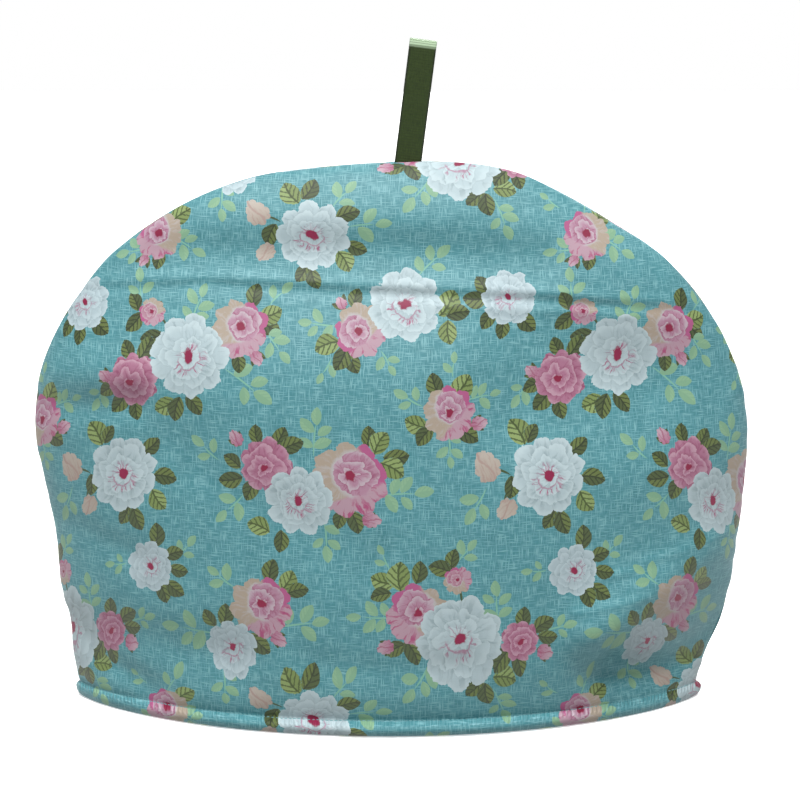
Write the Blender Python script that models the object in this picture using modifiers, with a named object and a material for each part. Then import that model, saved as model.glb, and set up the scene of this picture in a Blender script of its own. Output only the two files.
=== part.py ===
"""A padded tea cosy: two domed panels sewn together round the edge, open along the hem,
with a ribbon loop caught in the seam at the crown. It stands on its hem, a little open.

Units are metres, +Z is up, the origin is on the surface under the middle of the cosy,
the seam lies in the plane Y = 0 and the front panel is on the -Y side.
"""

import bmesh
import bpy
import numpy as np
from mathutils import Matrix, Vector

MM = 0.001

# The seam outline and how far each panel bulges from it, one row for each level of the
# cosy, from the hem to the crown: height, left edge, right edge and half depth.
LEVELS_MM = np.array(
    [
        # height, left, right, half_depth
        (0.0, -152.0, 150.5, 56.0),
        (8.0, -154.0, 151.5, 56.5),
        (22.0, -155.2, 154.5, 57.0),
        (40.0, -156.3, 161.5, 57.0),
        (55.0, -159.5, 164.5, 56.5),
        (80.0, -160.8, 167.0, 55.5),
        (105.0, -165.0, 169.5, 53.5),
        (137.0, -169.5, 170.0, 50.0),
        (157.0, -166.6, 166.6, 47.0),
        (176.0, -159.6, 158.8, 43.0),
        (195.0, -148.6, 146.8, 38.0),
        (214.0, -133.4, 130.0, 31.0),
        (232.0, -110.5, 103.5, 23.0),
        (246.0, -84.0, 79.0, 15.0),
        (252.5, -65.0, 66.0, 10.5),
        (257.5, -30.0, 49.0, 5.5),
        (259.6, 0.0, 33.0, 2.0),
        (260.0, 16.0, 16.0, 0.0),
    ]
)
HEIGHT, LEFT, RIGHT, HALF_DEPTH = LEVELS_MM.T

# The wall is cloth over wadding, sewn down to a narrower edge along the seam.
WALL_MM = 6.0
SEAM_EDGE_MM = 7.0
SEAM_GAP_MM = 0.3
# A section is y = half_depth * (1 - x^2) ** power, pointed at the seams and round between.
HEM_POWER, CROWN_POWER = 0.75, 0.62

# The turned-up hem: how far the cloth lies inside the plain wall at each height. It is
# flat below, rolls out, is drawn in by the row of stitches, and comes back to the wall.
STITCH_HEIGHT_MM = 7.2
HEM_ROLL_MM = np.array(
    [
        # height, inset
        (0.0, 1.3),
        (0.5, 0.6),
        (1.6, 0.0),
        (3.4, -0.5),
        (5.4, -0.1),
        (6.5, 0.7),
        (STITCH_HEIGHT_MM, 1.2),
        (8.0, 0.8),
        (10.0, 0.2),
        (14.0, 0.0),
    ]
)

# Heights of the mesh rows above the hem roll, closer together at the packing crease and
# where the dome flattens towards the crown.
ROWS_MM = (
    [20.0, 28.0, 36.0, 44.0, 53.0, 63.0, 75.0, 88.0, 102.0, 117.0, 132.0, 147.0, 162.0]
    + [175.0, 186.0, 194.0, 199.0, 203.0, 206.5, 210.0, 214.0, 220.0, 227.0, 234.0]
    + [240.5, 246.0, 250.2, 253.4, 256.0, 257.8, 259.0, 259.7]
)
COLUMNS = 36

# Soft creases on each panel: three points along the crease, its half width and how deep
# it is, a ridge being negative. x runs to the right and z up, as seen from the front.
FRONT_CREASES_MM = (
    # x0, z0, x1, z1, x2, z2, half_width, depth
    (-145.0, 205.0, -10.0, 208.5, 146.0, 194.0, 3.2, 1.3),
    (-145.0, 210.0, -10.0, 213.5, 146.0, 199.0, 3.6, -1.0),
    (-90.0, 228.0, 0.0, 232.0, 90.0, 224.0, 10.0, 1.8),
    (163.0, 50.0, 138.0, 34.0, 108.0, 18.0, 13.0, 6.0),
    (165.0, 66.0, 130.0, 62.0, 95.0, 52.0, 12.0, -2.4),
    (-158.0, 30.0, -138.0, 19.0, -112.0, 14.0, 9.0, 3.2),
    (-165.0, 92.0, -145.0, 88.0, -120.0, 80.0, 8.0, 2.2),
    (-168.0, 152.0, -145.0, 152.0, -118.0, 156.0, 7.0, 1.8),
)
BACK_CREASES_MM = (
    # x0, z0, x1, z1, x2, z2, half_width, depth
    (-145.0, 203.0, 5.0, 206.0, 146.0, 198.0, 3.2, 1.2),
    (-145.0, 208.0, 5.0, 211.0, 146.0, 203.0, 3.6, -0.9),
    (-90.0, 228.0, 0.0, 231.0, 90.0, 226.0, 10.0, 1.6),
    (155.0, 40.0, 136.0, 30.0, 110.0, 20.0, 11.0, 4.0),
    (-158.0, 44.0, -140.0, 32.0, -112.0, 22.0, 12.0, 4.6),
    (-160.0, 100.0, -130.0, 92.0, -100.0, 80.0, 10.0, 2.0),
    (163.0, 120.0, 140.0, 114.0, 112.0, 104.0, 9.0, 2.0),
)

# The ribbon loop: its two legs start together in the seam and part towards the fold.
RIBBON_WIDTH_MM = 12.4
RIBBON_THICKNESS_MM = 0.8
RIBBON_RISE_MM = 55.0
RIBBON_TUCK_MM = 4.5
RIBBON_FOLD_MM = 4.0
RIBBON_ROOT_X_MM = 8.5
RIBBON_LEAN_DEG = 7.2
RIBBON_STEPS = 48
SLOT_CLEARANCE_MM = 0.35


def clear_scene():
    """Remove the startup objects."""
    for thing in list(bpy.data.objects):
        bpy.data.objects.remove(thing, do_unlink=True)


def cloth(name, colour, roughness):
    """A plain Principled material in one colour."""
    made = bpy.data.materials.new(name)
    made.use_nodes = True
    shader = made.node_tree.nodes["Principled BSDF"]
    shader.inputs["Base Color"].default_value = (*colour, 1.0)
    shader.inputs["Roughness"].default_value = roughness
    shader.inputs["Metallic"].default_value = 0.0
    return made


def smooth_through(points, per_span=24):
    """Points on a cubic through the given rows, with slopes from the rows on each side."""
    t = np.r_[0.0, np.cumsum(np.linalg.norm(np.diff(points[:, :3], axis=0), axis=1))]
    slope = np.gradient(points, t, axis=0)
    out = []
    for i in range(len(points) - 1):
        span = t[i + 1] - t[i]
        s = np.linspace(0, 1, per_span, endpoint=False)[:, None]
        start = (1 + 2 * s) * (1 - s) ** 2 * points[i] + s * (1 - s) ** 2 * span * slope[i]
        end = s * s * (3 - 2 * s) * points[i + 1] - s * s * (1 - s) * span * slope[i + 1]
        out.append(start + end)
    return np.vstack([*out, points[-1:]])


def moved_in(across, up, distance):
    """A curve that rises to the crown, moved towards the inside by a distance."""
    step_across, step_up = np.gradient(across), np.gradient(up)
    length = np.hypot(step_across, step_up)
    inward = np.sign(across[0] - across[-1])
    return (
        across - inward * distance * step_up / length,
        up + inward * distance * step_across / length,
    )


def wall_levels(inner):
    """Columns height, left, right and half depth of the outer or the inner surface."""
    table = smooth_through(LEVELS_MM)
    height, left, right, depth = table.T
    if not inner:
        return table
    left_in, left_up = moved_in(left, height, SEAM_EDGE_MM)
    right_in, right_up = moved_in(right, height, SEAM_EDGE_MM)
    depth_in, depth_up = moved_in(depth, height, WALL_MM)
    crown = HEIGHT[-1] - SEAM_EDGE_MM
    levels = crown * height / HEIGHT[-1]
    return np.column_stack(
        [
            levels,
            np.interp(levels, left_up, left_in),
            np.interp(levels, right_up, right_in),
            np.clip(np.interp(levels, depth_up, depth_in), 0.0, None),
        ]
    )


def crease_relief(x, z, creases):
    """How far the wall is pushed in at each point by the creases: the distance to the
    crease's two straight runs goes through a bell curve."""
    relief = np.zeros_like(x)
    for x0, z0, x1, z1, x2, z2, half_width, depth in creases:
        nearest = np.full_like(x, np.inf)
        for ax, az, bx, bz in ((x0, z0, x1, z1), (x1, z1, x2, z2)):
            along = ((x - ax) * (bx - ax) + (z - az) * (bz - az)) / (
                (bx - ax) ** 2 + (bz - az) ** 2
            )
            along = np.clip(along, 0.0, 1.0)
            gap = np.hypot(x - ax - along * (bx - ax), z - az - along * (bz - az))
            nearest = np.minimum(nearest, gap)
        relief += depth * np.exp(-((nearest / half_width) ** 2))
    return relief


def wall_surface(inner, creases):
    """A grid of points on one face of the wall, rows from the hem up and columns from the
    left seam to the right, as x, y and z in millimetres with y as the half depth."""
    table = wall_levels(inner)
    crown = table[-1, 0]
    rows = np.r_[HEM_ROLL_MM[:, 0], ROWS_MM]
    heights = np.where(rows > STITCH_HEIGHT_MM, rows * crown / HEIGHT[-1], rows)
    left, right, depth = (np.interp(heights, table[:, 0], table[:, k]) for k in (1, 2, 3))
    inset = np.interp(rows, *HEM_ROLL_MM.T) * (-1.0 if inner else 1.0)
    left, right, depth = left + inset, right - inset, depth - inset
    turn = np.linspace(-1.0, 1.0, COLUMNS + 1)
    across = np.sin(turn * np.pi / 2)[None, :]
    power = HEM_POWER + (CROWN_POWER - HEM_POWER) * heights[:, None] / crown
    x = (left + right)[:, None] / 2 + (right - left)[:, None] / 2 * across
    z = np.broadcast_to(heights[:, None], x.shape)
    fullness = (1.0 - across**2).clip(0.0)
    away_from_seam = fullness**0.5 * np.clip(z / 20.0, 0.0, 1.0)
    y = depth[:, None] * fullness**power
    y = y - crease_relief(x, z, creases) * away_from_seam
    return np.stack([x, y.clip(0.0), z], axis=-1)


def panel(name, side, creases, material):
    """One padded panel: outer and inner surfaces joined along the hem and the seam. The
    sections change from a long crescent at the hem to a point at the crown, so the faces
    are lofted here. side is -1 for the front and +1 for the back."""
    outer, inner = wall_surface(False, creases), wall_surface(True, creases)
    rows, columns = outer.shape[:2]
    per_face = rows * columns
    crown_x = LEFT[-1]
    poles = [[crown_x, 0.0, HEIGHT[-1]], [crown_x, 0.0, HEIGHT[-1] - SEAM_EDGE_MM]]
    points = np.vstack([outer.reshape(-1, 3), inner.reshape(-1, 3), poles])
    points[:, 1] = side * (points[:, 1] + SEAM_GAP_MM / 2)
    index = np.arange(per_face).reshape(rows, columns)
    top_out, top_in = 2 * per_face, 2 * per_face + 1

    def strip(low, high):
        return np.stack([low[:-1], low[1:], high[1:], high[:-1]], axis=-1).tolist()

    faces = []
    for row in range(rows - 1):
        faces += strip(index[row], index[row + 1])
        faces += strip(index[row + 1] + per_face, index[row] + per_face)
    faces += strip(index[0] + per_face, index[0])
    faces += strip(index[:, -1], index[:, -1] + per_face)
    faces += strip(index[:, 0] + per_face, index[:, 0])
    last = index[-1]
    faces += [[a, b, top_out] for a, b in zip(last[:-1], last[1:])]
    faces += [[b + per_face, a + per_face, top_in] for a, b in zip(last[:-1], last[1:])]
    faces.append([last[-1], last[-1] + per_face, top_in, top_out])
    faces.append([last[0] + per_face, last[0], top_out, top_in])

    mesh = bpy.data.meshes.new(name)
    mesh.from_pydata((points * MM).tolist(), [], faces)
    made = bpy.data.objects.new(name, mesh)
    shaped = bmesh.new()
    shaped.from_mesh(mesh)
    bmesh.ops.recalc_face_normals(shaped, faces=shaped.faces)
    shaped.to_mesh(mesh)
    shaped.free()
    mesh.shade_smooth()
    mesh.set_sharp_from_angle(angle=np.radians(40.0))
    mesh.materials.append(material)
    return made


def ribbon_path():
    """The loop's centre line seen from the side, as y and z from the seam's top edge: up
    one leg, round the fold and down the other."""
    leg_y = (RIBBON_THICKNESS_MM + 0.4) / 2
    straight = RIBBON_RISE_MM - RIBBON_FOLD_MM
    rise = np.linspace(-RIBBON_TUCK_MM, straight, RIBBON_STEPS // 2)
    swell = np.clip(rise / straight, 0.0, 1.0)
    swell = np.sin(swell * np.pi / 2) ** 1.5
    leg = np.column_stack([leg_y + (RIBBON_FOLD_MM - leg_y) * swell, rise])
    turn = np.linspace(0.0, np.pi, RIBBON_STEPS // 2 + 2)[1:-1]
    fold_y, fold_z = RIBBON_FOLD_MM * np.cos(turn), RIBBON_FOLD_MM * np.sin(turn)
    fold = np.column_stack([fold_y, straight + fold_z])
    return np.vstack([leg, fold, (leg * (-1.0, 1.0))[::-1]])


def lean():
    """The ribbon stands in the seam and leans to the right."""
    root = Vector((RIBBON_ROOT_X_MM * MM, 0.0, HEIGHT[-1] * MM))
    return Matrix.Translation(root) @ Matrix.Rotation(np.radians(RIBBON_LEAN_DEG), 4, "Y")


def ribbon_loop(material):
    """A flat grid bent along the loop's path and given the ribbon's thickness."""
    path = ribbon_path()
    strip = bmesh.new()
    bmesh.ops.create_grid(strip, x_segments=2, y_segments=len(path) - 1, size=0.5)
    for point in strip.verts:
        step = round((point.co.y + 0.5) * (len(path) - 1))
        y, z = path[step]
        point.co = Vector((point.co.x * RIBBON_WIDTH_MM, y, z)) * MM
    bmesh.ops.transform(strip, matrix=lean(), verts=strip.verts)
    mesh = bpy.data.meshes.new("ribbon_loop")
    strip.to_mesh(mesh)
    strip.free()
    mesh.shade_smooth()
    mesh.materials.append(material)
    made = bpy.data.objects.new("ribbon_loop", mesh)
    thick = made.modifiers.new("thickness", "SOLIDIFY")
    thick.thickness = RIBBON_THICKNESS_MM * MM
    thick.offset = 0.0
    return made


def ribbon_slot():
    """The room in the seam that the two ribbon legs take up, cut from both panels."""
    legs = 2 * RIBBON_THICKNESS_MM + 0.4 + 2 * SLOT_CLEARANCE_MM
    deep = RIBBON_TUCK_MM + SLOT_CLEARANCE_MM
    size = Vector((RIBBON_WIDTH_MM + 2 * SLOT_CLEARANCE_MM, legs, 2 * deep)) * MM
    box = bmesh.new()
    bmesh.ops.create_cube(box, size=1.0, matrix=lean() @ Matrix.Diagonal((*size, 1.0)))
    mesh = bpy.data.meshes.new("ribbon_slot")
    box.to_mesh(mesh)
    box.free()
    made = bpy.data.objects.new("ribbon_slot", mesh)
    made.hide_render = True
    made.display_type = "WIRE"
    return made


def main():
    clear_scene()
    parts = bpy.data.collections.new("tea_cosy")
    cutters = bpy.data.collections.new("cutters")
    bpy.context.scene.collection.children.link(parts)
    bpy.context.scene.collection.children.link(cutters)

    cotton = cloth("printed_cotton", (0.102, 0.304, 0.337), 0.62)
    ribbon = cloth("grosgrain_ribbon", (0.052, 0.085, 0.026), 0.45)
    slot = ribbon_slot()
    cutters.objects.link(slot)
    panels = (
        panel("front_panel", -1, FRONT_CREASES_MM, cotton),
        panel("back_panel", 1, BACK_CREASES_MM, cotton),
    )
    for made in panels:
        parts.objects.link(made)
        cut = made.modifiers.new("ribbon_slot", "BOOLEAN")
        cut.operation = "DIFFERENCE"
        cut.object = slot
    parts.objects.link(ribbon_loop(ribbon))


main()
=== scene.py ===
# %% [markdown]
# # A quilted tea cosy in rose chintz
#
# A tea cosy is a padded hood that keeps a teapot warm. This one is two dome-shaped panels,
# each of printed cotton over wadding, sewn together round the edge and open along the hem,
# with a loop of ribbon at the crown to lift it by. The solid model is loaded first, and
# every piece below is laid over it in the same frame, in metres.

# %% Load the solid model
from functools import partial

import bpy
import numpy as np
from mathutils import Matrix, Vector


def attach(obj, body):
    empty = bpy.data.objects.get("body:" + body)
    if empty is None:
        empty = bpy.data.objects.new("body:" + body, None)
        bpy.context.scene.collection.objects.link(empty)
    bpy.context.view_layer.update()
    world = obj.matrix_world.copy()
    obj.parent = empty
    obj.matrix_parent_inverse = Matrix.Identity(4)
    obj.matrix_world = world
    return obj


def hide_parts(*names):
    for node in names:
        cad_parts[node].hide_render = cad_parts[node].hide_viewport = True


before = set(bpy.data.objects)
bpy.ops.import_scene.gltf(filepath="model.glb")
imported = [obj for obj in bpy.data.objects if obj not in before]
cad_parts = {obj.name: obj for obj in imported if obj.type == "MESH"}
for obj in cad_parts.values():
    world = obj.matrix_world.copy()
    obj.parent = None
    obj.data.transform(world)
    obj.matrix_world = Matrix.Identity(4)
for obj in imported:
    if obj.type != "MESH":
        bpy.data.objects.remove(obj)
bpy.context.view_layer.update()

MM = 0.001

# %% [markdown]
# Four small helpers serve the whole lesson. The first turns a colour as it is written in
# a paint chart (sRGB hex) into the linear light that the renderer works in. The second adds
# one shader node with its inputs and settings, and the third lays colours over each other.
# The fourth turns arrays of points and faces into a mesh object.


# %% Helpers for colours, nodes and meshes
def linear(code):
    """An sRGB hex colour as linear red, green, blue and alpha: each channel c becomes
    c / 12.92 near black and ((c + 0.055) / 1.055) ** 2.4 above."""
    channels = np.array([int(code[i : i + 2], 16) for i in (1, 3, 5)]) / 255
    bright = ((channels + 0.055) / 1.055) ** 2.4
    return (*np.where(channels > 0.04045, bright, channels / 12.92).tolist(), 1.0)


def add(tree, kind, *inputs, out=0, named=None, **settings):
    """Add one node and give back one of its outputs. Inputs come in the order of its
    sockets, or by name or number in named; each is a value or another node's output. The
    kind is Blender's name for the node, with its operation after a colon where it has one,
    and the settings are its other options."""
    kind, _, operation = kind.partition(":")
    node = tree.nodes.new("ShaderNode" + kind)
    if operation:
        node.operation = operation
    for option, value in settings.items():
        setattr(node, option, value)
    for socket, value in [*enumerate(inputs), *(named or {}).items()]:
        if isinstance(value, bpy.types.NodeSocket):
            tree.links.new(value, node.inputs[socket])
        else:
            node.inputs[socket].default_value = value
    return node.outputs[out]


def in_coats(node, colour, *coats):
    """A colour with coats laid over it in turn. Each coat is a share, from 0 for none of it
    to 1 for all of it, and a colour of its own."""
    for share, coat in coats:
        colour = node("Mix", share, data_type="RGBA", out=2, named={6: colour, 7: coat})
    return colour


def surface_object(name, points_mm, faces, materials, smooth=True):
    """A mesh object from points in millimetres and faces as lists of point numbers."""
    mesh = bpy.data.meshes.new(name)
    mesh.from_pydata((np.asarray(points_mm) * MM).tolist(), [], faces)
    for material in materials:
        mesh.materials.append(material)
    if smooth:
        mesh.shade_smooth()
    made = bpy.data.objects.new(name, mesh)
    bpy.context.scene.collection.objects.link(made)
    print(f"{name}: {len(mesh.vertices)} points, {len(mesh.polygons)} faces")
    return made


# %% [markdown]
# ## The shape of a panel
#
# A maker cuts each panel as a flat dome. Sewn to its twin and stood on its hem it bellies
# out, so a level cut through it is a long crescent, pointed at the two seams. The table
# gives that crescent at a few heights, and a smooth curve joins its rows. The solids use
# the same sizes, so the cloth lies right on them, and they stand 0.3 mm apart at the seam.
# The real seam is sewn shut, so here only 0.04 mm is left open, which shows no light.

# %% The levels of the dome
LEVELS_MM = np.array(
    [
        # height, left seam, right seam, half depth
        (0.0, -152.0, 150.5, 56.0),
        (8.0, -154.0, 151.5, 56.5),
        (22.0, -155.2, 154.5, 57.0),
        (40.0, -156.3, 161.5, 57.0),
        (55.0, -159.5, 164.5, 56.5),
        (80.0, -160.8, 167.0, 55.5),
        (105.0, -165.0, 169.5, 53.5),
        (137.0, -169.5, 170.0, 50.0),
        (157.0, -166.6, 166.6, 47.0),
        (176.0, -159.6, 158.8, 43.0),
        (195.0, -148.6, 146.8, 38.0),
        (214.0, -133.4, 130.0, 31.0),
        (232.0, -110.5, 103.5, 23.0),
        (246.0, -84.0, 79.0, 15.0),
        (252.5, -65.0, 66.0, 10.5),
        (257.5, -30.0, 49.0, 5.5),
        (259.6, 0.0, 33.0, 2.0),
        (260.0, 16.0, 16.0, 0.0),
    ]
)
CROWN_MM = LEVELS_MM[-1, 0]
WALL_MM = 6.0
SEAM_EDGE_MM = 7.0
SEAM_GAP_MM = 0.04
HEM_POWER, CROWN_POWER = 0.75, 0.62


def smooth_through(points, per_span=24):
    """Points on a cubic through the given rows, with slopes from the rows on each side."""
    t = np.r_[0.0, np.cumsum(np.linalg.norm(np.diff(points[:, :3], axis=0), axis=1))]
    slope = np.gradient(points, t, axis=0)
    out = []
    for i in range(len(points) - 1):
        span = t[i + 1] - t[i]
        s = np.linspace(0, 1, per_span, endpoint=False)[:, None]
        start = (1 + 2 * s) * (1 - s) ** 2 * points[i] + s * (1 - s) ** 2 * span * slope[i]
        end = s * s * (3 - 2 * s) * points[i + 1] - s * s * (1 - s) * span * slope[i + 1]
        out.append(start + end)
    return np.vstack([*out, points[-1:]])


LEVEL_CURVE = smooth_through(LEVELS_MM)
print(f"{len(LEVELS_MM)} levels, {CROWN_MM:.0f} mm to the crown")

# %% [markdown]
# The hem is turned up and held by one row of stitches, which draws the padding in and
# leaves a soft roll below it. The roll is a second short table: how far the cloth lies
# inside the plain wall at each height. Creases come from a third: each is a soft trough,
# or a ridge where its depth is below zero, along a bent line. The narrow level pair is
# where the cosy was folded to be packed. The broad ones are hollows of the soft wadding,
# and the deep one at the lower right is where it has buckled, with a ridge above it.

# %% The hem roll and the main creases
STITCH_HEIGHT_MM = 7.2
SEAM_SHARE_OF_ROLL = 0.6
CREASE_FADE_POWER, CREASE_FADE_MM = 0.42, 20.0
HEM_ROLL_MM = smooth_through(
    np.array(
        [
            # height, inset, and a zero that fills the curve's third column
            (0.0, 1.0, 0.0),
            (0.5, 0.0, 0.0),
            (1.6, -1.3, 0.0),
            (3.2, -2.1, 0.0),
            (4.8, -2.1, 0.0),
            (6.0, -0.9, 0.0),
            (6.7, 0.8, 0.0),
            (STITCH_HEIGHT_MM, 2.5, 0.0),
            (8.2, 2.4, 0.0),
            (10.0, 1.9, 0.0),
            (15.0, 1.1, 0.0),
            (28.0, 0.0, 0.0),
        ]
    ),
    per_span=8,
)
FRONT_CREASES_MM = (
    # half width, depth, and the spots that the crease runs through as x, z
    (2.2, -1.0, (-145, 204.5), (-82, 209), (-27, 207), (27, 205), (77, 202), (142, 195.5)),
    (2.6, 1.0, (-145, 200), (-82, 204.5), (-27, 202.5), (27, 200.5), (77, 197.5), (142, 191)),
    (2.2, -0.6, (20, 197), (77, 194), (112, 191)),
    (11.0, 4.2, (-112, 219), (0, 221.5), (70, 217)),
    (24.0, 7.0, (-128, 202), (45, 203), (72, 187), (100, 172), (150, 166)),
    (26.0, 6.5, (62, 154), (118, 152)),
    (21.0, 3.5, (-165, 129), (-125, 131), (-102, 134)),
    (8.5, -3.4, (-166, 162), (-143, 165), (-116, 167)),
    (7.5, 4.2, (-168, 146), (-145, 147), (-118, 151)),
    (8.0, 2.2, (-165, 92), (-145, 88), (-120, 80)),
    (8.0, 5.0, (-152, 38), (-137, 24), (-114, 13)),
    (15.0, 3.5, (-122, 36), (-74, 34)),
    (12.0, 13.0, (164, 40), (150, 29), (134, 21), (116, 19), (103, 26)),
    (14.0, -8.0, (168, 84), (140, 72), (118, 59), (97, 47)),
    (1.8, -0.8, (84, 57), (104, 59.5), (120, 62)),
    (1.8, -0.7, (96, 72.5), (112, 74)),
    (1.8, -0.6, (118, 78), (140, 82), (162, 86)),
    (9.0, 1.4, (-34, 34), (0, 31), (34, 33)),
    (14.0, 1.6, (-80, 120), (-40, 96), (-10, 84)),
    (15.0, 1.5, (60, 150), (88, 120), (100, 90)),
)
BACK_CREASES_MM = (
    # half width, depth, and the spots that the crease runs through as x, z
    (2.4, -1.2, (-145, 202), (-60, 207), (40, 204), (142, 197)),
    (2.8, 1.0, (-145, 197.5), (-60, 202.5), (40, 199.5), (142, 192.5)),
    (10.0, 2.2, (-105, 219), (5, 222), (105, 217)),
    (11.0, 4.4, (155, 40), (136, 30), (110, 20)),
    (12.0, 5.0, (-158, 44), (-140, 32), (-112, 22)),
    (10.0, 2.0, (-160, 100), (-130, 92), (-100, 80)),
    (9.0, 2.0, (163, 120), (140, 114), (112, 104)),
)


def crease_relief(x, z, creases):
    """How far the wall is pushed in at each point: each crease's depth times a bell curve,
    exp(-(distance / half width) ** 2), of the distance to its straight runs."""
    relief = np.zeros_like(x)
    for half_width, depth, *spots in creases:
        nearest = np.full_like(x, np.inf)
        for (ax, az), (bx, bz) in zip(spots, spots[1:]):
            run = (bx - ax) ** 2 + (bz - az) ** 2
            along = ((x - ax) * (bx - ax) + (z - az) * (bz - az)) / run
            along = np.clip(along, 0.0, 1.0)
            gap = np.hypot(x - ax - along * (bx - ax), z - az - along * (bz - az))
            nearest = np.minimum(nearest, gap)
        relief += depth * np.exp(-((nearest / half_width) ** 2))
    return relief


def unevenness(x, y, cell, seed):
    """Smooth random values from -1 to 1: random numbers on a square lattice of the given
    cell, blended by the cosine of the place in the cell."""
    lattice = np.random.default_rng(seed).uniform(-1, 1, (64, 64))
    gx, gy = np.asarray(x) / cell + 1000.0, np.asarray(y) / cell + 1000.0
    ix, iy = np.floor(gx).astype(int), np.floor(gy).astype(int)
    fx, fy = ((1 - np.cos(np.pi * (g - i))) / 2 for g, i in ((gx, ix), (gy, iy)))
    ix, iy = ix % 64, iy % 64
    jx, jy = (ix + 1) % 64, (iy + 1) % 64
    low = lattice[ix, iy] * (1 - fx) + lattice[jx, iy] * fx
    high = lattice[ix, jy] * (1 - fx) + lattice[jx, jy] * fx
    return low * (1 - fy) + high * fy


print(f"{len(FRONT_CREASES_MM)} creases in front, {len(BACK_CREASES_MM)} behind")

# %% [markdown]
# One function gives a whole face of the wall as a grid: rows run from the hem to the crown
# and columns from seam to seam. A row is the crescent y = depth * (1 - s ** 2) ** power,
# where s goes from -1 at the left seam to 1 at the right one. The same function makes the
# inner face, moved in by the thickness of the padding.

# %% The wall as a function of two parameters
COLUMNS = 320
FINE_HEM_MM = np.r_[
    [0.0, 0.25, 0.6, 1.1, 1.8, 2.6, 3.4, 4.2, 5.0, 5.7, 6.2, 6.7, STITCH_HEIGHT_MM],
    [7.7, 8.2, 8.8, 9.6, 10.6, 11.8],
]
ROWS_ABOVE_HEM = 210


def moved_in(across, up, distance):
    """A curve that rises to the crown, moved towards the inside by a distance."""
    step_across, step_up = np.gradient(across), np.gradient(up)
    length = np.hypot(step_across, step_up)
    inward = np.sign(across[0] - across[-1])
    return (
        across - inward * distance * step_up / length,
        up + inward * distance * step_across / length,
    )


def inner_curve():
    """The levels of the inner face: the seams and the belly, each moved in."""
    height, left, right, depth = LEVEL_CURVE.T
    left_in, left_up = moved_in(left, height, SEAM_EDGE_MM)
    right_in, right_up = moved_in(right, height, SEAM_EDGE_MM)
    depth_in, depth_up = moved_in(depth, height, WALL_MM)
    levels = (CROWN_MM - SEAM_EDGE_MM) * height / CROWN_MM
    return np.column_stack(
        [
            levels,
            np.interp(levels, left_up, left_in),
            np.interp(levels, right_up, right_in),
            np.clip(np.interp(levels, depth_up, depth_in), 0.0, None),
        ]
    )


def row_heights():
    """Heights of the rows: the hem's own, then even steps along the belly's curve, with
    the seam's sideways run counted a little so that the flat crown has rows enough."""
    height, left, _, depth = LEVEL_CURVE.T
    step = np.sqrt(
        np.diff(height) ** 2 + np.diff(depth) ** 2 + (0.35 * np.diff(left)) ** 2
    )
    run = np.r_[0.0, np.cumsum(step)]
    start = np.interp(FINE_HEM_MM[-1], height, run)
    even = np.linspace(start, run[-1], ROWS_ABOVE_HEM + 2)[1:-1]
    return np.r_[FINE_HEM_MM, np.interp(even, run, height)]


def wall(heights, columns, inner, creases):
    """Points of one face of the wall at the given heights, as x, half depth y and z. The
    creases fade out at the seams and at the hem, where the cloth is held."""
    table = inner_curve() if inner else LEVEL_CURVE
    crown = table[-1, 0]
    z = np.where(heights > STITCH_HEIGHT_MM, heights * crown / CROWN_MM, heights)
    left, right, depth = (np.interp(z, table[:, 0], table[:, k]) for k in (1, 2, 3))
    inset = np.interp(heights, HEM_ROLL_MM[:, 0], HEM_ROLL_MM[:, 1])
    inset = -inset if inner else inset
    at_seam = SEAM_SHARE_OF_ROLL * inset
    left, right, depth = left + at_seam, right - at_seam, depth - inset
    even = np.linspace(-1.0, 1.0, columns + 1)
    s = (0.55 * even + 0.45 * np.sin(even * np.pi / 2))[None, :]
    power = HEM_POWER + (CROWN_POWER - HEM_POWER) * z[:, None] / crown
    x = (left + right)[:, None] / 2 + (right - left)[:, None] / 2 * s
    z = np.broadcast_to(z[:, None], x.shape)
    fullness = (1.0 - s**2).clip(0.0)
    y = depth[:, None] * fullness**power
    fade = fullness**CREASE_FADE_POWER * np.clip(z / CREASE_FADE_MM, 0.0, 1.0)
    y = y - crease_relief(x, z, creases) * fade
    return np.stack([x, y.clip(0.0), z], axis=-1)


HEIGHTS = row_heights()
print(f"{len(HEIGHTS)} rows of {COLUMNS} faces on each outer face")

# %% [markdown]
# Cloth is measured along itself, not straight across, so each point also gets a place on
# the flat cloth: u is the length along its row from the middle, and v the length up the
# belly from the hem. The print is laid out in u and v, and follows every curve.


# %% Places on the flat cloth
def cloth_places(points):
    """u and v in millimetres for a grid of points: lengths added up along each row, from
    the plane x = 0, and up the profile of the belly."""
    along = np.linalg.norm(np.diff(points, axis=1), axis=2)
    u = np.pad(np.cumsum(along, axis=1), ((0, 0), (1, 0)))
    middle = [np.interp(0.0, row[:, 0], length) for row, length in zip(points, u)]
    height, depth = LEVEL_CURVE[:, 0], LEVEL_CURVE[:, 3]
    profile = np.r_[0.0, np.cumsum(np.hypot(np.diff(height), np.diff(depth)))]
    v = np.interp(points[:, 0, 2], height, profile)
    return u - np.array(middle)[:, None], np.broadcast_to(v[:, None], u.shape)


def outward(points):
    """Unit vectors square to a grid, from the cross product of its two directions."""
    across, up = np.gradient(points, axis=1), np.gradient(points, axis=0)
    normal = np.cross(up, across)
    return normal / np.maximum(np.linalg.norm(normal, axis=2, keepdims=True), 1e-9)


# %% [markdown]
# The fine relief is what makes it read as sewn cloth: the seam pulls the cloth into a
# small groove with short puckers beside it, the stitches dimple the hem, and the wadding
# lies a little unevenly everywhere.

# %% Fine relief of sewn cloth
STITCH_PITCH_MM = 2.2
PADDING_MM, LUMP_MM = (0.45, 0.16), (46.0, 17.0)
PUCKER_MM, RIPPLE_MM, DIMPLE_MM = 0.55, 0.3, 0.35
GROOVE_MM, GROOVE_HALF_WIDTH_MM = 1.0, 1.3
BELLY_MIDDLE_MM = (16.0, 120.0)


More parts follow.
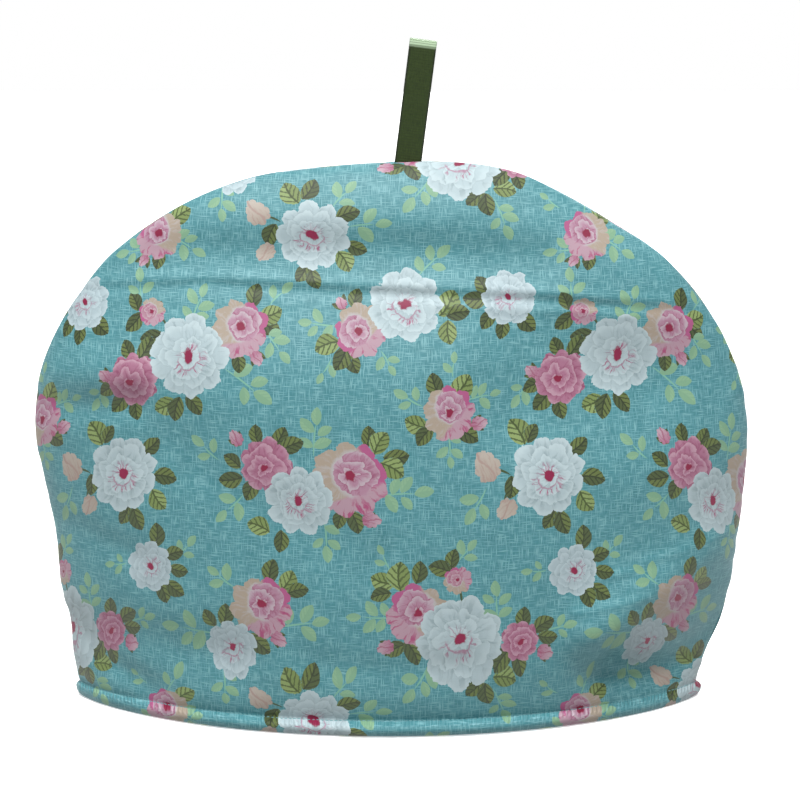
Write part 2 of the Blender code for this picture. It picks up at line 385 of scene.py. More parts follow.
def fine_relief(points, u, v, seed):
    """How far each point stands out, in millimetres: slow unevenness of the wadding, plus
    puckers that fade with the distance to the seam and to the row of stitches."""
    x, y, z = np.moveaxis(points, -1, 0)
    from_seam = np.minimum(u - u[:, :1], u[:, -1:] - u)
    run = z + 0.25 * np.abs(x)
    padding = sum(
        height * unevenness(u, v, size, seed + k)
        for k, (height, size) in enumerate(zip(PADDING_MM, LUMP_MM))
    )
    pucker = unevenness(run, np.sign(x) * 40.0, 5.5, seed + 2) * np.exp(-from_seam / 7.0)
    ripple = unevenness(u, 0.12 * v, 4.2, seed + 3) * np.exp(-(((v - 8.0) / 9.0) ** 2))
    dimple = np.cos(np.pi * u / STITCH_PITCH_MM) ** 2
    dimple = dimple * np.exp(-(((z - STITCH_HEIGHT_MM) / 0.9) ** 2))
    rising = np.clip(z / 3.0, 0.0, 1.0)
    from_edge = np.clip(from_seam / 3.0, 0.0, 1.0)
    soft = padding * from_edge * np.clip(from_seam / 25.0, 0.0, 1.0)
    sewn = PUCKER_MM * pucker * from_edge + RIPPLE_MM * ripple - DIMPLE_MM * dimple
    return rising * (soft + sewn)


def seam_groove(points):
    """The outer face near the seam is drawn in towards the middle of the panel, by a bell
    curve of the distance to the seam plane."""
    x, y, z = np.moveaxis(points, -1, 0)
    middle_x, middle_z = BELLY_MIDDLE_MM
    inward = np.stack([middle_x - x, np.zeros_like(x), middle_z - z], axis=-1)
    inward[..., 2] *= np.clip((z - 150.0) / 60.0, 0.0, 1.0)
    inward /= np.maximum(np.linalg.norm(inward, axis=2, keepdims=True), 1e-9)
    pull = GROOVE_MM * np.exp(-((y / GROOVE_HALF_WIDTH_MM) ** 2)) * np.clip(z / 6.0, 0.0, 1.0)
    return points + inward * pull[..., None]


# %% [markdown]
# ## The print
#
# Rose chintz is a repeat of flower sprays on a linen-look ground. On a real mill each
# colour has its own screen. Here a screen holds motifs that don't touch: every face under a
# motif carries the motif's own x and y, so the material can draw a leaf or a flower there
# by formula, as sharp as the picture needs. Motifs that overlap go on screens above each
# other, back to front. The repeat is charted in millimetres, one short row for each motif.

# %% The chart of one repeat
REPEAT_MM = (199.0, 223.0)
PEONY, SMALL, ROSE, BLUSH, BUD, PEACH, PIP = range(1, 8)
DARK, LIGHT, PALE, TWIG, WISP = range(1, 6)
FLOWERS_MM = (
    # kind, u, v, width, turn in degrees
    (ROSE, 80, 165, 25, 30),
    (BLUSH, -68, 188, 26, 0),
    (BLUSH, -13, 188, 24, 235),
    (BLUSH, 91, 8, 23, 170),
    (BLUSH, 27, 151, 24, 30),
    (BLUSH, -18, 121, 35, 0),
    (ROSE, -56, 127, 25, 60),
    (BLUSH, -59, 61, 29, 10),
    (BLUSH, 13, 59, 29, 160),
    (ROSE, 60, 46, 18, 100),
    (BUD, 89, 195, 13, 225),
    (BUD, 31, 75, 13, 88),
    (PEACH, -61, 20, 14, 120),
    (PEACH, -57, 0, 10, 220),
    (PEACH, 44, 127, 15, 115),
    (PEACH, 53, 107, 11, 228),
    (PIP, 66, 168, 7, 150),
    (PIP, -60, 175, 7, 300),
    (PIP, -22, 200, 6, 130),
    (PIP, 84, 219, 6, 240),
    (PIP, 41, 146, 8, 10),
    (PIP, -8, 103, 9, 350),
    (PIP, -70, 139, 8, 130),
    (PIP, -51, 46, 8, 330),
    (PIP, -2, 44, 8, 200),
    (PIP, 72, 40, 8, 340),
    (PEONY, -35, 9, 34, 0),
    (PEONY, -92, 175, 37, 20),
    (PEONY, 7, 199, 33, 340),
    (PEONY, 32, 47, 40, 10),
    (SMALL, 54, 202, 25, 0),
    (PEONY, 73, 121, 35, 0),
    (PEONY, -41, 111, 31, 350),
    (SMALL, 85, 77, 24, 60),
    (SMALL, -74, 41, 25, 200),
)
LEAVES_MM = (
    # tone, u, v, the way the tip points in degrees
    (LIGHT, -45, 30, 125),
    (DARK, -37, 32, 60),
    (DARK, -40, -9, 240),
    (DARK, -34, -12, 290),
    (DARK, -19, 19, 20),
    (DARK, -15, 3, 335),
    (LIGHT, -21, -4, 300),
    (DARK, -54, 9, 250),
    (DARK, 89, 184, 190),
    (DARK, 80, 200, 115),
    (DARK, 80, 191, 225),
    (DARK, 86, 179, 60),
    (DARK, 78, 179, 120),
    (DARK, 67, 161, 200),
    (DARK, 71, 155, 230),
    (DARK, 80, 151, 280),
    (LIGHT, 95, 153, 205),
    (DARK, -98, 151, 255),
    (DARK, -90, 153, 310),
    (LIGHT, -54, 195, 20),
    (DARK, -61, 203, 80),
    (DARK, -55, 190, 335),
    (DARK, -69, 173, 280),
    (LIGHT, -28, 181, 200),
    (DARK, -22, 176, 245),
    (DARK, -16, 174, 290),
    (DARK, -15, 202, 80),
    (LIGHT, 26, 200, 60),
    (DARK, 31, 195, 10),
    (LIGHT, 27, 187, 275),
    (DARK, 39, 28, 225),
    (DARK, 45, 24, 280),
    (LIGHT, 53, 31, 350),
    (DARK, 42, 207, 120),
    (DARK, 39, 202, 180),
    (DARK, 45, 192, 230),
    (DARK, 51, 188, 265),
    (DARK, 63, 191, 310),
    (LIGHT, -98, 17, 40),
    (DARK, 92, -4, 250),
    (DARK, 21, 164, 110),
    (LIGHT, 32, 163, 50),
    (LIGHT, 12, 147, 160),
    (DARK, 16, 141, 230),
    (DARK, 35, 141, 330),
    (DARK, -10, 141, 85),
    (LIGHT, -4, 138, 60),
    (DARK, 3, 132, 5),
    (LIGHT, 1, 126, 330),
    (DARK, -22, 103, 250),
    (DARK, -16, 102, 290),
    (LIGHT, 59, 141, 120),
    (DARK, 66, 140, 60),
    (DARK, 87, 134, 35),
    (DARK, 94, 119, 350),
    (LIGHT, 91, 109, 305),
    (DARK, 73, 102, 240),
    (DARK, 80, 100, 290),
    (DARK, 55, 117, 265),
    (DARK, -72, 128, 145),
    (DARK, -73, 120, 190),
    (DARK, -63, 115, 240),
    (DARK, -60, 141, 100),
    (DARK, -50, 140, 60),
    (DARK, -44, 136, 25),
    (LIGHT, -60, 98, 160),
    (DARK, -50, 92, 265),
    (DARK, 89, 92, 85),
    (DARK, 98, 83, 20),
    (DARK, 100, 76, 350),
    (DARK, 91, 65, 290),
    (DARK, 98, 67, 325),
    (DARK, -84, 54, 125),
    (DARK, -77, 56, 80),
    (DARK, -54, 78, 80),
    (LIGHT, -47, 74, 60),
    (DARK, -42, 69, 15),
    (DARK, -60, 44, 320),
    (LIGHT, -3, 75, 165),
    (DARK, -4, 68, 195),
    (LIGHT, 5, 77, 90),
    (DARK, 13, 79, 80),
    (DARK, 29, 85, 80),
    (DARK, 23, 80, 160),
    (DARK, 71, 52, 30),
    (DARK, 73, 47, 355),
    (DARK, 62, 56, 90),
    (DARK, 52, 38, 230),
    (DARK, 59, 36, 290),
    (DARK, 3, 43, 210),
    (DARK, 10, 42, 300),
)
TWIGS_MM = (
    # u, v, the way it runs in degrees: a bud's stalk
    (-54, 17, 340),
    (-53, 4, 60),
    (51, 124, 340),
    (53, 112, 80),
    (94, 191, 310),
    (32, 68, 280),
)
SPRIGS_MM = (
    # u, v, the way the tip points in degrees, leaves, size of a leaf beside the usual one
    (-21, 29, 50, 3, 1.0),
    (12, 29, 235, 4, 1.1),
    (-9, 14, 5, 3, 1.2),
    (52, 15, 290, 4, 1.0),
    (78, 1, 190, 4, 0.9),
    (75, 25, 140, 2, 0.75),
    (21, -3, 45, 4, 1.0),
    (-93, 2, 330, 4, 1.0),
    (-78, 23, 275, 4, 0.95),
    (95, 25, 60, 2, 1.0),
    (-1, 174, 300, 3, 0.8),
    (29, 172, 85, 2, 0.7),
    (9, 158, 150, 3, 0.9),
    (44, 158, 10, 4, 0.85),
    (61, 158, 235, 3, 0.85),
    (83, 207, 95, 3, 0.95),
    (-87, 200, 70, 5, 1.0),
    (-50, 203, 45, 2, 0.85),
    (-34, 191, 175, 4, 0.9),
    (-51, 180, 310, 4, 0.95),
    (-62, 161, 325, 4, 1.2),
    (-29, 171, 240, 2, 0.8),
    (-33, 145, 85, 5, 1.05),
    (-84, 133, 140, 3, 0.95),
    (27, 133, 275, 4, 0.85),
    (9, 115, 5, 5, 1.1),
    (39, 109, 240, 3, 1.15),
    (-73, 107, 225, 3, 1.05),
    (-29, 91, 275, 4, 0.95),
    (-2, 85, 115, 2, 0.75),
    (35, 88, 50, 3, 0.85),
    (-95, 86, 50, 3, 0.8),
    (-78, 74, 145, 3, 1.0),
    (67, 78, 180, 3, 0.7),
    (49, 66, 95, 5, 1.0),
    (-10, 58, 180, 5, 1.05),
    (80, 51, 15, 4, 0.8),
    (-97, 48, 175, 4, 1.25),
    (-37, 54, 10, 4, 1.2),
)
print(f"{len(FLOWERS_MM)} flowers, {len(LEAVES_MM)} leaves, {len(SPRIGS_MM)} sprigs")

# %% [markdown]
# A stamp is one motif on the flat cloth: its middle, its length and width, its turn, how
# far its axis bends, and a code. The code's whole part says what it is, and its fraction
# which row of the chart it came from, so that every copy of a flower is ruffled alike, as
# on a real print. A sprig is built by a loop: a thin stem, a leaf at its tip and the rest
# in pairs, with one missing here and there.

# %% From the chart to stamps
ROW_SAG = 0.0016
SAG_FROM_MM = 85.0
RUCK_MM, RUCK_HEIGHT_MM, RUCK_REACH_MM = 4.6, 22.0, 14.0


def print_places(u, v):
    """The print's own v at each place: sewing the curved seam pulls the rows of print down
    by a square law of the distance past 85 mm from the middle, except where the corner is
    dented, and the cloth just above the hem is pushed up a few millimetres, by a bell
    curve of the height."""
    side = np.maximum(np.abs(u) - SAG_FROM_MM, 0.0)
    corner = np.where(u > 0, 0.9 * np.exp(-((v / 45.0) ** 2)), 0.0)
    sag = ROW_SAG * side**2 * (1.0 - corner)
    return v + sag + RUCK_MM * np.exp(-(((v - RUCK_HEIGHT_MM) / RUCK_REACH_MM) ** 2))


LEAF_SIZES_MM = {DARK: (10.8, 7.4), LIGHT: (12.4, 9.8)}
SPRIG_LEAF_MM = (7.6, 4.4)
SPRIG_LEAVES = (
    # along the stem, to the side, turn from the stem
    (5.4, 0.0, 4.0),
    (-0.2, 3.9, 50.0),
    (-1.4, -3.8, -54.0),
    (-6.2, 3.7, 62.0),
    (-7.4, -3.4, -64.0),
)
SEPALS_MM = {PIP: (7.0, 2.8), PEACH: (5.6, 2.2), BUD: (7.0, 2.6)}


def code(kind, row):
    """A motif's kind and its row in the chart in one number."""
    return kind + 0.1 + 0.008 * (row % 97)


def leaf_stamps():
    """The leaves' layer, back to front, as rows of u, v, length, width, turn, bend, code."""
    rows = []
    for i, (u, v, turn, leaves, size) in enumerate(SPRIGS_MM):
        c, s = np.cos(np.radians(turn)), np.sin(np.radians(turn))
        stem = size * (10.0 if leaves < 4 else 15.0)
        back = stem / 2 - 2.0
        rows.append((u - back * c, v - back * s, stem, 0.8, turn, 1.2, code(WISP, i)))
        for k, (along, side, lean) in enumerate(SPRIG_LEAVES[:leaves]):
            along, side = size * (along + 0.8 * np.sin(3.1 * i + 2.0 * k)), size * side
            grow = size * (1.0 + 0.12 * np.sin(2.3 * i + 1.7 * k))
            place = (u + along * c - side * s, v + along * s + side * c)
            leaf = (SPRIG_LEAF_MM[0] * grow, SPRIG_LEAF_MM[1] * grow)
            rows.append((*place, *leaf, turn + lean, 0.15, code(PALE, i)))
    for i, (u, v, turn) in enumerate(TWIGS_MM):
        rows.append((u, v, 9.0, 1.1, turn, 0.9, code(TWIG, i)))
    for i, (tone, u, v, turn) in enumerate(LEAVES_MM):
        grow = 1.0 + 0.12 * np.sin(1.9 * i)
        length, width = (size * grow for size in LEAF_SIZES_MM[tone])
        rows.append((u, v, length, width, turn, 0.2 * (-1) ** i, code(tone, i)))
    for i, (kind, u, v, width, turn) in enumerate(FLOWERS_MM):
        for lean in (-34.0, 34.0) if kind in SEPALS_MM else ():
            length = SEPALS_MM[kind][0]
            back, way = np.radians(turn), np.radians(turn + lean)
            base = (u - 0.46 * width * np.cos(back), v - 0.46 * width * np.sin(back))
            place = (base[0] + 0.4 * length * np.cos(way), base[1] + 0.4 * length * np.sin(way))
            rows.append((*place, *SEPALS_MM[kind], turn + lean, 0.2, code(DARK, i)))
    return np.array(rows)


def flower_stamps():
    """The flowers' layer, back to front, in the same columns as the leaves. A flower turned
    more than a quarter is mirrored as well, by a width below zero, so it stays upright."""
    rows = []
    for i, (kind, u, v, width, turn) in enumerate(FLOWERS_MM):
        flip = -1 if 90 < turn < 270 and kind != PEACH else 1
        rows.append((u, v, width, flip * width, turn, 0.0, code(kind, i)))
    return np.array(rows)


def repeated(stamps, low, high):
    """Copies of the stamps in every repeat that reaches the cloth between two corners."""
    margin = stamps[:, 2].max()
    copies = []
    for i in range(-3, 4):
        for k in range(-3, 4):
            moved = stamps.copy()
            moved[:, 0] += i * REPEAT_MM[0]
            moved[:, 1] += k * REPEAT_MM[1]
            copies.append(moved)
    everything = np.stack(copies, axis=1).reshape(-1, stamps.shape[1])
    middles = everything[:, :2]
    return everything[((middles > low - margin) & (middles < high + margin)).all(axis=1)]


FAR = (9.0, 9.0, 0.0)
REACH = 1.12
SCREENS = {"leaf": 7, "flower": 4}


def lay_screens(stamps, corners, name, mesh):
    """Share the stamps out over screens and keep each screen as a corner attribute of the
    mesh, whose first faces are the given corners. A stamp goes on the lowest screen above
    all the stamps under it, or on the highest free one where there is none above. x runs
    from -1 at a leaf's base to 1 at its tip and y across it, and a bend moves y by a share
    of 1 - x ** 2."""
    middle = corners.mean(axis=1)
    taken = np.zeros((SCREENS[name], len(corners)), dtype=bool)
    screens = np.tile(FAR, (SCREENS[name], len(mesh.loops), 1))
    cut = 0
    for u, v, length, width, turn, bend, number in stamps:
        faces = np.flatnonzero(np.abs(middle - (u, v)).max(axis=1) < 0.75 * length + 2.0)
        c, s = np.cos(np.radians(turn)), np.sin(np.radians(turn))
        du, dv = corners[faces, :, 0] - u, corners[faces, :, 1] - v
        x, y = (du * c + dv * s) / (length / 2), (dv * c - du * s) / (width / 2)
        y = y - bend * (1.0 - np.minimum(x * x, 1.5))
        in_x = (x.min(axis=1) < REACH) & (x.max(axis=1) > -REACH)
        in_y = (y.min(axis=1) < REACH) & (y.max(axis=1) > -REACH)
        touched = in_x & in_y
        if not touched.any():
            continue
        faces, x, y = faces[touched], x[touched], y[touched]
        busy = taken[:, faces].any(axis=1)
        free = np.flatnonzero(~busy)
        above = free[free > np.flatnonzero(busy).max(initial=-1)]
        cut += free.size == 0
        level = above[0] if above.size else free.max(initial=0)
        loops = (faces[:, None] * 4 + np.arange(4)).ravel()
        number = np.full(x.size, number)
        screens[level][loops] = np.stack([x.ravel(), y.ravel(), number], axis=-1)
        taken[level, faces] = True
    for k, screen in enumerate(screens):
        layer = mesh.attributes.new(f"{name}_{k}", "FLOAT_VECTOR", "CORNER")
        layer.data.foreach_set("vector", screen.ravel())
    screens_used = int(taken.any(axis=1).sum())
    print(f"{mesh.name}: {len(stamps)} {name} stamps on {screens_used} screens, {cut} cut")


# %% [markdown]
# ## The printed cotton
#
# The cloth is plain-woven cotton, screen-printed to look like slubby linen: a sea-green
# ground crossed by fine paler lines, level and upright. Printed cotton is matt with a soft
# sheen where it curves away. Its threads lie about 0.3 mm apart, too fine to show from a
# step away, so the lines of the print are drawn coarser, at 0.46 mm.

# %% Colours of the print
GROUND = {"deep": "#3C7981", "body": "#44838B", "thread": "#8ABCC2"}
LEAF_COLOURS = {
    # kind: one half, the other half, veins
    DARK: ("#3F4C29", "#5A6836", "#1F2912"),
    LIGHT: ("#6E8049", "#80935B", "#36441F"),
    PALE: ("#779F81", "#80A685", "#769D80"),
    TWIG: ("#3A4C2C", "#3A4C2C", "#28391E"),
    WISP: ("#74A892", "#74A892", "#74A892"),
}
FLOWER_COLOURS = {
    # kind: strokes, petal, petal rim, heart
    PEONY: ("#728489", "#A3B5BA", "#B1C2C6", "#7C0E3A"),
    SMALL: ("#708288", "#A1B3B9", "#AFC0C5", "#7C0E3A"),
    ROSE: ("#7D3455", "#9C6880", "#B3909F", "#7A0D35"),
    BLUSH: ("#853D5E", "#A27A8E", "#B3A4AD", "#7A0D35"),
    BUD: ("#8E4266", "#A27989", "#B09AA2", "#7C0E3A"),
    PEACH: ("#997E78", "#A2978C", "#ADA49A", "#A0706F"),
    PIP: ("#8A3859", "#9F6C83", "#B096A2", "#902C51"),
}
PEACH_SIDE, PINK_SIDE = "#9E9182", "#A0507A"
LOWER_SIDE, CRESCENT = "#A88A97", "#AEACB0"
PINK_STROKE = "#983C67"
print(len(FLOWER_COLOURS), "kinds of flower and", len(LEAF_COLOURS), "kinds of leaf")

# %% [markdown]
# Every formula below works on the motif's own x and y. A leaf is the space inside
# |y| ** 1.25 + x ** 2 < 1, which is an oval with pointed ends. A flower's outline is a
# circle whose radius swells with |sin(n * angle)|, so that n petals show, and so are the
# rings of petals in a white flower. A rose's petals wind round its heart: the count of
# turns is a power of the radius less the angle in turns. A closed bud is an egg, with y
# stretched more towards its tip.

# %% Shapes shared by the screens
PETAL_RINGS = (
    # radius, swell, petals, phase: the outline first, then the rings inside it
    (0.84, 0.17, 9, 0.0),
    (0.60, 0.17, 7, 0.9),
    (0.39, 0.15, 6, 2.1),
    (0.21, 0.09, 4, 0.4),
)


def leaf_height(node, place):
    """|y| ** 1.25 + x ** 2, which is under 1 inside a leaf."""
    axes = node("SeparateXYZ", place).node.outputs
    across = node("Math:ABSOLUTE", axes[1])
    across = node("Math:POWER", across, 1.25)
    square = node("Math:MULTIPLY", axes[0], axes[0])
    return node("Math:ADD", across, square)


def ring_edge(node, angle, radius, swell, petals, phase):
    """A ring's radius at each angle, and the |sin| that swells it."""
    turned = node("Math:MULTIPLY_ADD", angle, petals / 2, phase)
    wave = node("Math:ABSOLUTE", node("Math:SINE", turned))
    round_wave = node("Math:POWER", wave, 0.6)
    return node("Math:MULTIPLY_ADD", round_wave, swell, radius), wave


def polar(node, place):
    """The distance from the motif's middle, the angle round it in radians, the direction
    as an arrow of length 1, and the separate x, y and code."""
    axes = node("SeparateXYZ", place).node.outputs
    flat = node("CombineXYZ", axes[0], axes[1], 0.0)
    radius = node("VectorMath:LENGTH", flat, out=1)
    arrow = node("VectorMath:NORMALIZE", flat)
    return radius, node("Math:ARCTAN2", axes[1], axes[0]), arrow, axes


def egg_shaped(node, place):
    """The same place, with y multiplied by 1.3 + 0.35 x where the code is a closed bud's."""
    axes = node("SeparateXYZ", place).node.outputs
    closed = node("Math:GREATER_THAN", axes[2], 6.0)
    factor = node("Math:MULTIPLY_ADD", axes[0], 0.35, 0.30)
    factor = node("Math:MULTIPLY_ADD", factor, closed, 1.0)
    return node("CombineXYZ", axes[0], node("Math:MULTIPLY", axes[1], factor), axes[2])


def ruffled(node, place, scale, amount, detail=1.5):
    """The motif's x and y pushed about by noise that is sampled at x, y and the code, so
    that every copy of one motif is pushed alike."""
    spread = node("VectorMath:MULTIPLY", place, (1.0, 1.0, 60.0))
    settings = {"Vector": spread, "Scale": scale, "Detail": detail, "Roughness": 0.6}
    noise = node("TexNoise", named=settings, out=1)
    centred = node("VectorMath:SUBTRACT", noise, (0.5, 0.5, 0.5))
    push = node("VectorMath:MULTIPLY", centred, (amount, amount, 0.0))
    return node("VectorMath:ADD", place, push)


def round_noise(node, arrow, number, radius, frequency, stretch, offset, detail=1.0):
    """Noise that changes quickly round a flower and slowly along its petals: it is sampled
    at the arrow times a frequency, and at a height made of the radius and the code."""
    height = node("Math:MULTIPLY_ADD", number, 60.0, offset)
    height = node("Math:MULTIPLY_ADD", radius, stretch, height)
    spot = node("VectorMath:MULTIPLY", arrow, (frequency,) * 3)
    spot = node("VectorMath:ADD", spot, node("CombineXYZ", 0.0, 0.0, height))
    return node("TexNoise", named={"Vector": spot, "Scale": 1.0, "Detail": detail})


def palette(node, number, colours, column):
    """A constant ramp that gives each kind's colour in one column of a table."""
    where = node("Math:MULTIPLY", number, 0.1)
    ramp = node("ValToRGB", where).node
    ramp.color_ramp.interpolation = "CONSTANT"
    elements = ramp.color_ramp.elements
    for kind, row in colours.items():
        spot = elements[kind - 1] if kind <= 2 else elements.new(kind * 0.1)
        spot.position = kind * 0.1
        spot.color = linear(row[column])
    return ramp.outputs[0]


# %% [markdown]
# The screens are merged first, so that only the topmost leaf and the topmost flower of
# each spot are drawn in full.


# %% Merge the screens
def topmost(node, name, count, inside):
    """The x, y and code of the topmost motif: each screen covers those below where its own
    motif is."""
    merged = None
    for k in range(count):
        place = node("Attribute", attribute_name=f"{name}_{k}", out=1)
        if name == "flower":
            place = ruffled(node, place, 1.9, 0.46, detail=4.0)
        if merged is None:
            merged = place
            continue
        mask = inside(place)
        merged = node("Mix", mask, data_type="VECTOR", out=1, named={4: merged, 5: place})
    return merged


def inside_leaf(node, place):
    return node("Math:LESS_THAN", leaf_height(node, place), 1.0)


def inside_flower(node, place):
    radius, angle, _, _ = polar(node, egg_shaped(node, place))
    edge, _ = ring_edge(node, angle, *PETAL_RINGS[0])
    return node("Math:LESS_THAN", radius, edge)


# %% Leaves
def leaf_paint(node, count):
    """Colour and cover of the leaves. The halves differ in tone, a dark midrib runs along
    y = 0, and side veins are stripes of x - 0.7 |y|."""
    place = topmost(node, "leaf", count, partial(inside_leaf, node))
    rough = ruffled(node, place, 5.0, 0.22)
    cover = inside_leaf(node, rough)
    axes = node("SeparateXYZ", rough).node.outputs
    number = node("SeparateXYZ", place).node.outputs[2]
    upper = node("Math:GREATER_THAN", axes[1], 0.0)
    across = node("Math:ABSOLUTE", axes[1])
    slant = node("Math:MULTIPLY_ADD", across, -0.75, axes[0])
    stripe = node("Math:SINE", node("Math:MULTIPLY", slant, 13.0))
    vein = node("MapRange", stripe, 0.35, 0.75, 0.0, 0.85, clamp=True)
    rib = node("MapRange", across, 0.05, 0.12, 1.0, 0.0, clamp=True)
    lines = node("Math:MAXIMUM", vein, rib)
    lower_half, upper_half, dark = (palette(node, number, LEAF_COLOURS, k) for k in range(3))
    return in_coats(node, lower_half, (upper, upper_half), (lines, dark)), cover


# %% [markdown]
# A flower is drawn from the outside in. In each petal the colour goes from the strokes at
# its base to its pale rim. The blush roses show their rosette up and to one side: the
# petals behind it are peach on the far side, deep pink on the near one and pale with short
# strokes below. The white peonies are almost flat white, with a few grey strokes, and get
# a fan of pink strokes above the heart and an arc with short strokes below it.


# %% Flowers
HEART_RADIUS = 0.14
HEART_SHIFTS = {"blush": (-0.03, -0.08, 0.0), "rose": (0.12, -0.03, 0.0)}
ROSETTE_MIDDLE, ROSETTE_RADIUS = (-0.17, -0.19, 0.0), 0.58
RING_WOBBLE = 0.48
TURNS, TURN_POWER, SCALLOP = 3.3, 0.8, 0.34


def petals_in_rings(node, outer, radius, angle, arrow, number):
    """For the white flowers: each ring's depth, from 0 at its inner edge to 1 at its rim,
    and the gaps between its petals."""
    outer_radius, outer_angle = outer
    rings = [ring_edge(node, outer_angle, *PETAL_RINGS[0])]
    for k, ring in enumerate(PETAL_RINGS[1:]):
        edge, wave = ring_edge(node, angle, *ring)
        wobble = round_noise(node, arrow, number, radius, 1.3, 0.0, 5.0 * k)
        wobble = node("Math:MULTIPLY_ADD", wobble, RING_WOBBLE, -RING_WOBBLE / 2)
        rings.append((node("Math:ADD", edge, wobble), wave))
    depth = node("MapRange", outer_radius, rings[1][0], rings[0][0], 0.0, 1.0)
    gap = node("MapRange", rings[0][1], 0.0, 0.16, 1.0, 0.0)
    for k, (edge, wave) in enumerate(rings[1:], start=1):
        inner = rings[k + 1][0] if k + 1 < len(rings) else 0.0
        inside = node("Math:LESS_THAN", radius, edge)
        span = node("MapRange", radius, inner, edge, 0.0, 1.0)
        thin = node("MapRange", wave, 0.0, 0.2, 1.0, 0.0)
        depth = node("Mix", inside, named={2: depth, 3: span})
        gap = node("Mix", inside, named={2: gap, 3: thin})
    return depth, gap


def petals_in_a_spiral(node, radius, angle, arrow, number):
    """For the roses: the fraction of the count of turns, which goes from 0 at a petal's
    inner edge to 1 at its rim, with scallops and a slow wobble, and the gaps."""
    turns = node("Math:POWER", radius, TURN_POWER)
    turns = node("Math:MULTIPLY", turns, TURNS)
    turns = node("Math:MULTIPLY_ADD", angle, -1.0 / (2 * np.pi), turns)
    swing = node("Math:MULTIPLY", radius, 5.0)
    swing = node("Math:MULTIPLY_ADD", angle, 2.0, swing)
    wave = node("Math:ABSOLUTE", node("Math:SINE", swing))
    turns = node("Math:MULTIPLY_ADD", wave, -SCALLOP, turns)
    wobble = round_noise(node, arrow, number, radius, 1.6, 1.2, 7.0)
    turns = node("Math:MULTIPLY_ADD", wobble, 1.1, turns)
    return node("Math:FRACT", turns), node("MapRange", wave, 0.0, 0.14, 1.0, 0.0)


def bud_paint(node, place, colours):
    """A closed bud: paler towards its tip, with fine streaks and one fold along it."""
    dark, petal, rim = colours
    axes = node("SeparateXYZ", place).node.outputs
    tip = node("MapRange", axes[0], -0.7, 0.6, 0.0, 1.0)
    spread = node("VectorMath:MULTIPLY", place, (1.6, 8.0, 60.0))
    streaks = node("TexNoise", named={"Vector": spread, "Scale": 1.0, "Detail": 2.0})
    streaks = node("MapRange", streaks, 0.50, 0.68, 0.0, 0.75)
    fading = node("MapRange", axes[0], -0.6, 0.8, 1.0, 0.25)
    streaks = node("Math:MULTIPLY", streaks, fading)
    bend = node("Math:SINE", node("Math:MULTIPLY", axes[0], 2.4))
    fold = node("Math:MULTIPLY_ADD", bend, -0.22, axes[1])
    fold = node("Math:ABSOLUTE", fold)
    fold = node("MapRange", fold, 0.03, 0.12, 0.7, 0.0)
    drawn = node("Math:MAXIMUM", streaks, fold)
    return in_coats(node, petal, (tip, rim), (drawn, dark))


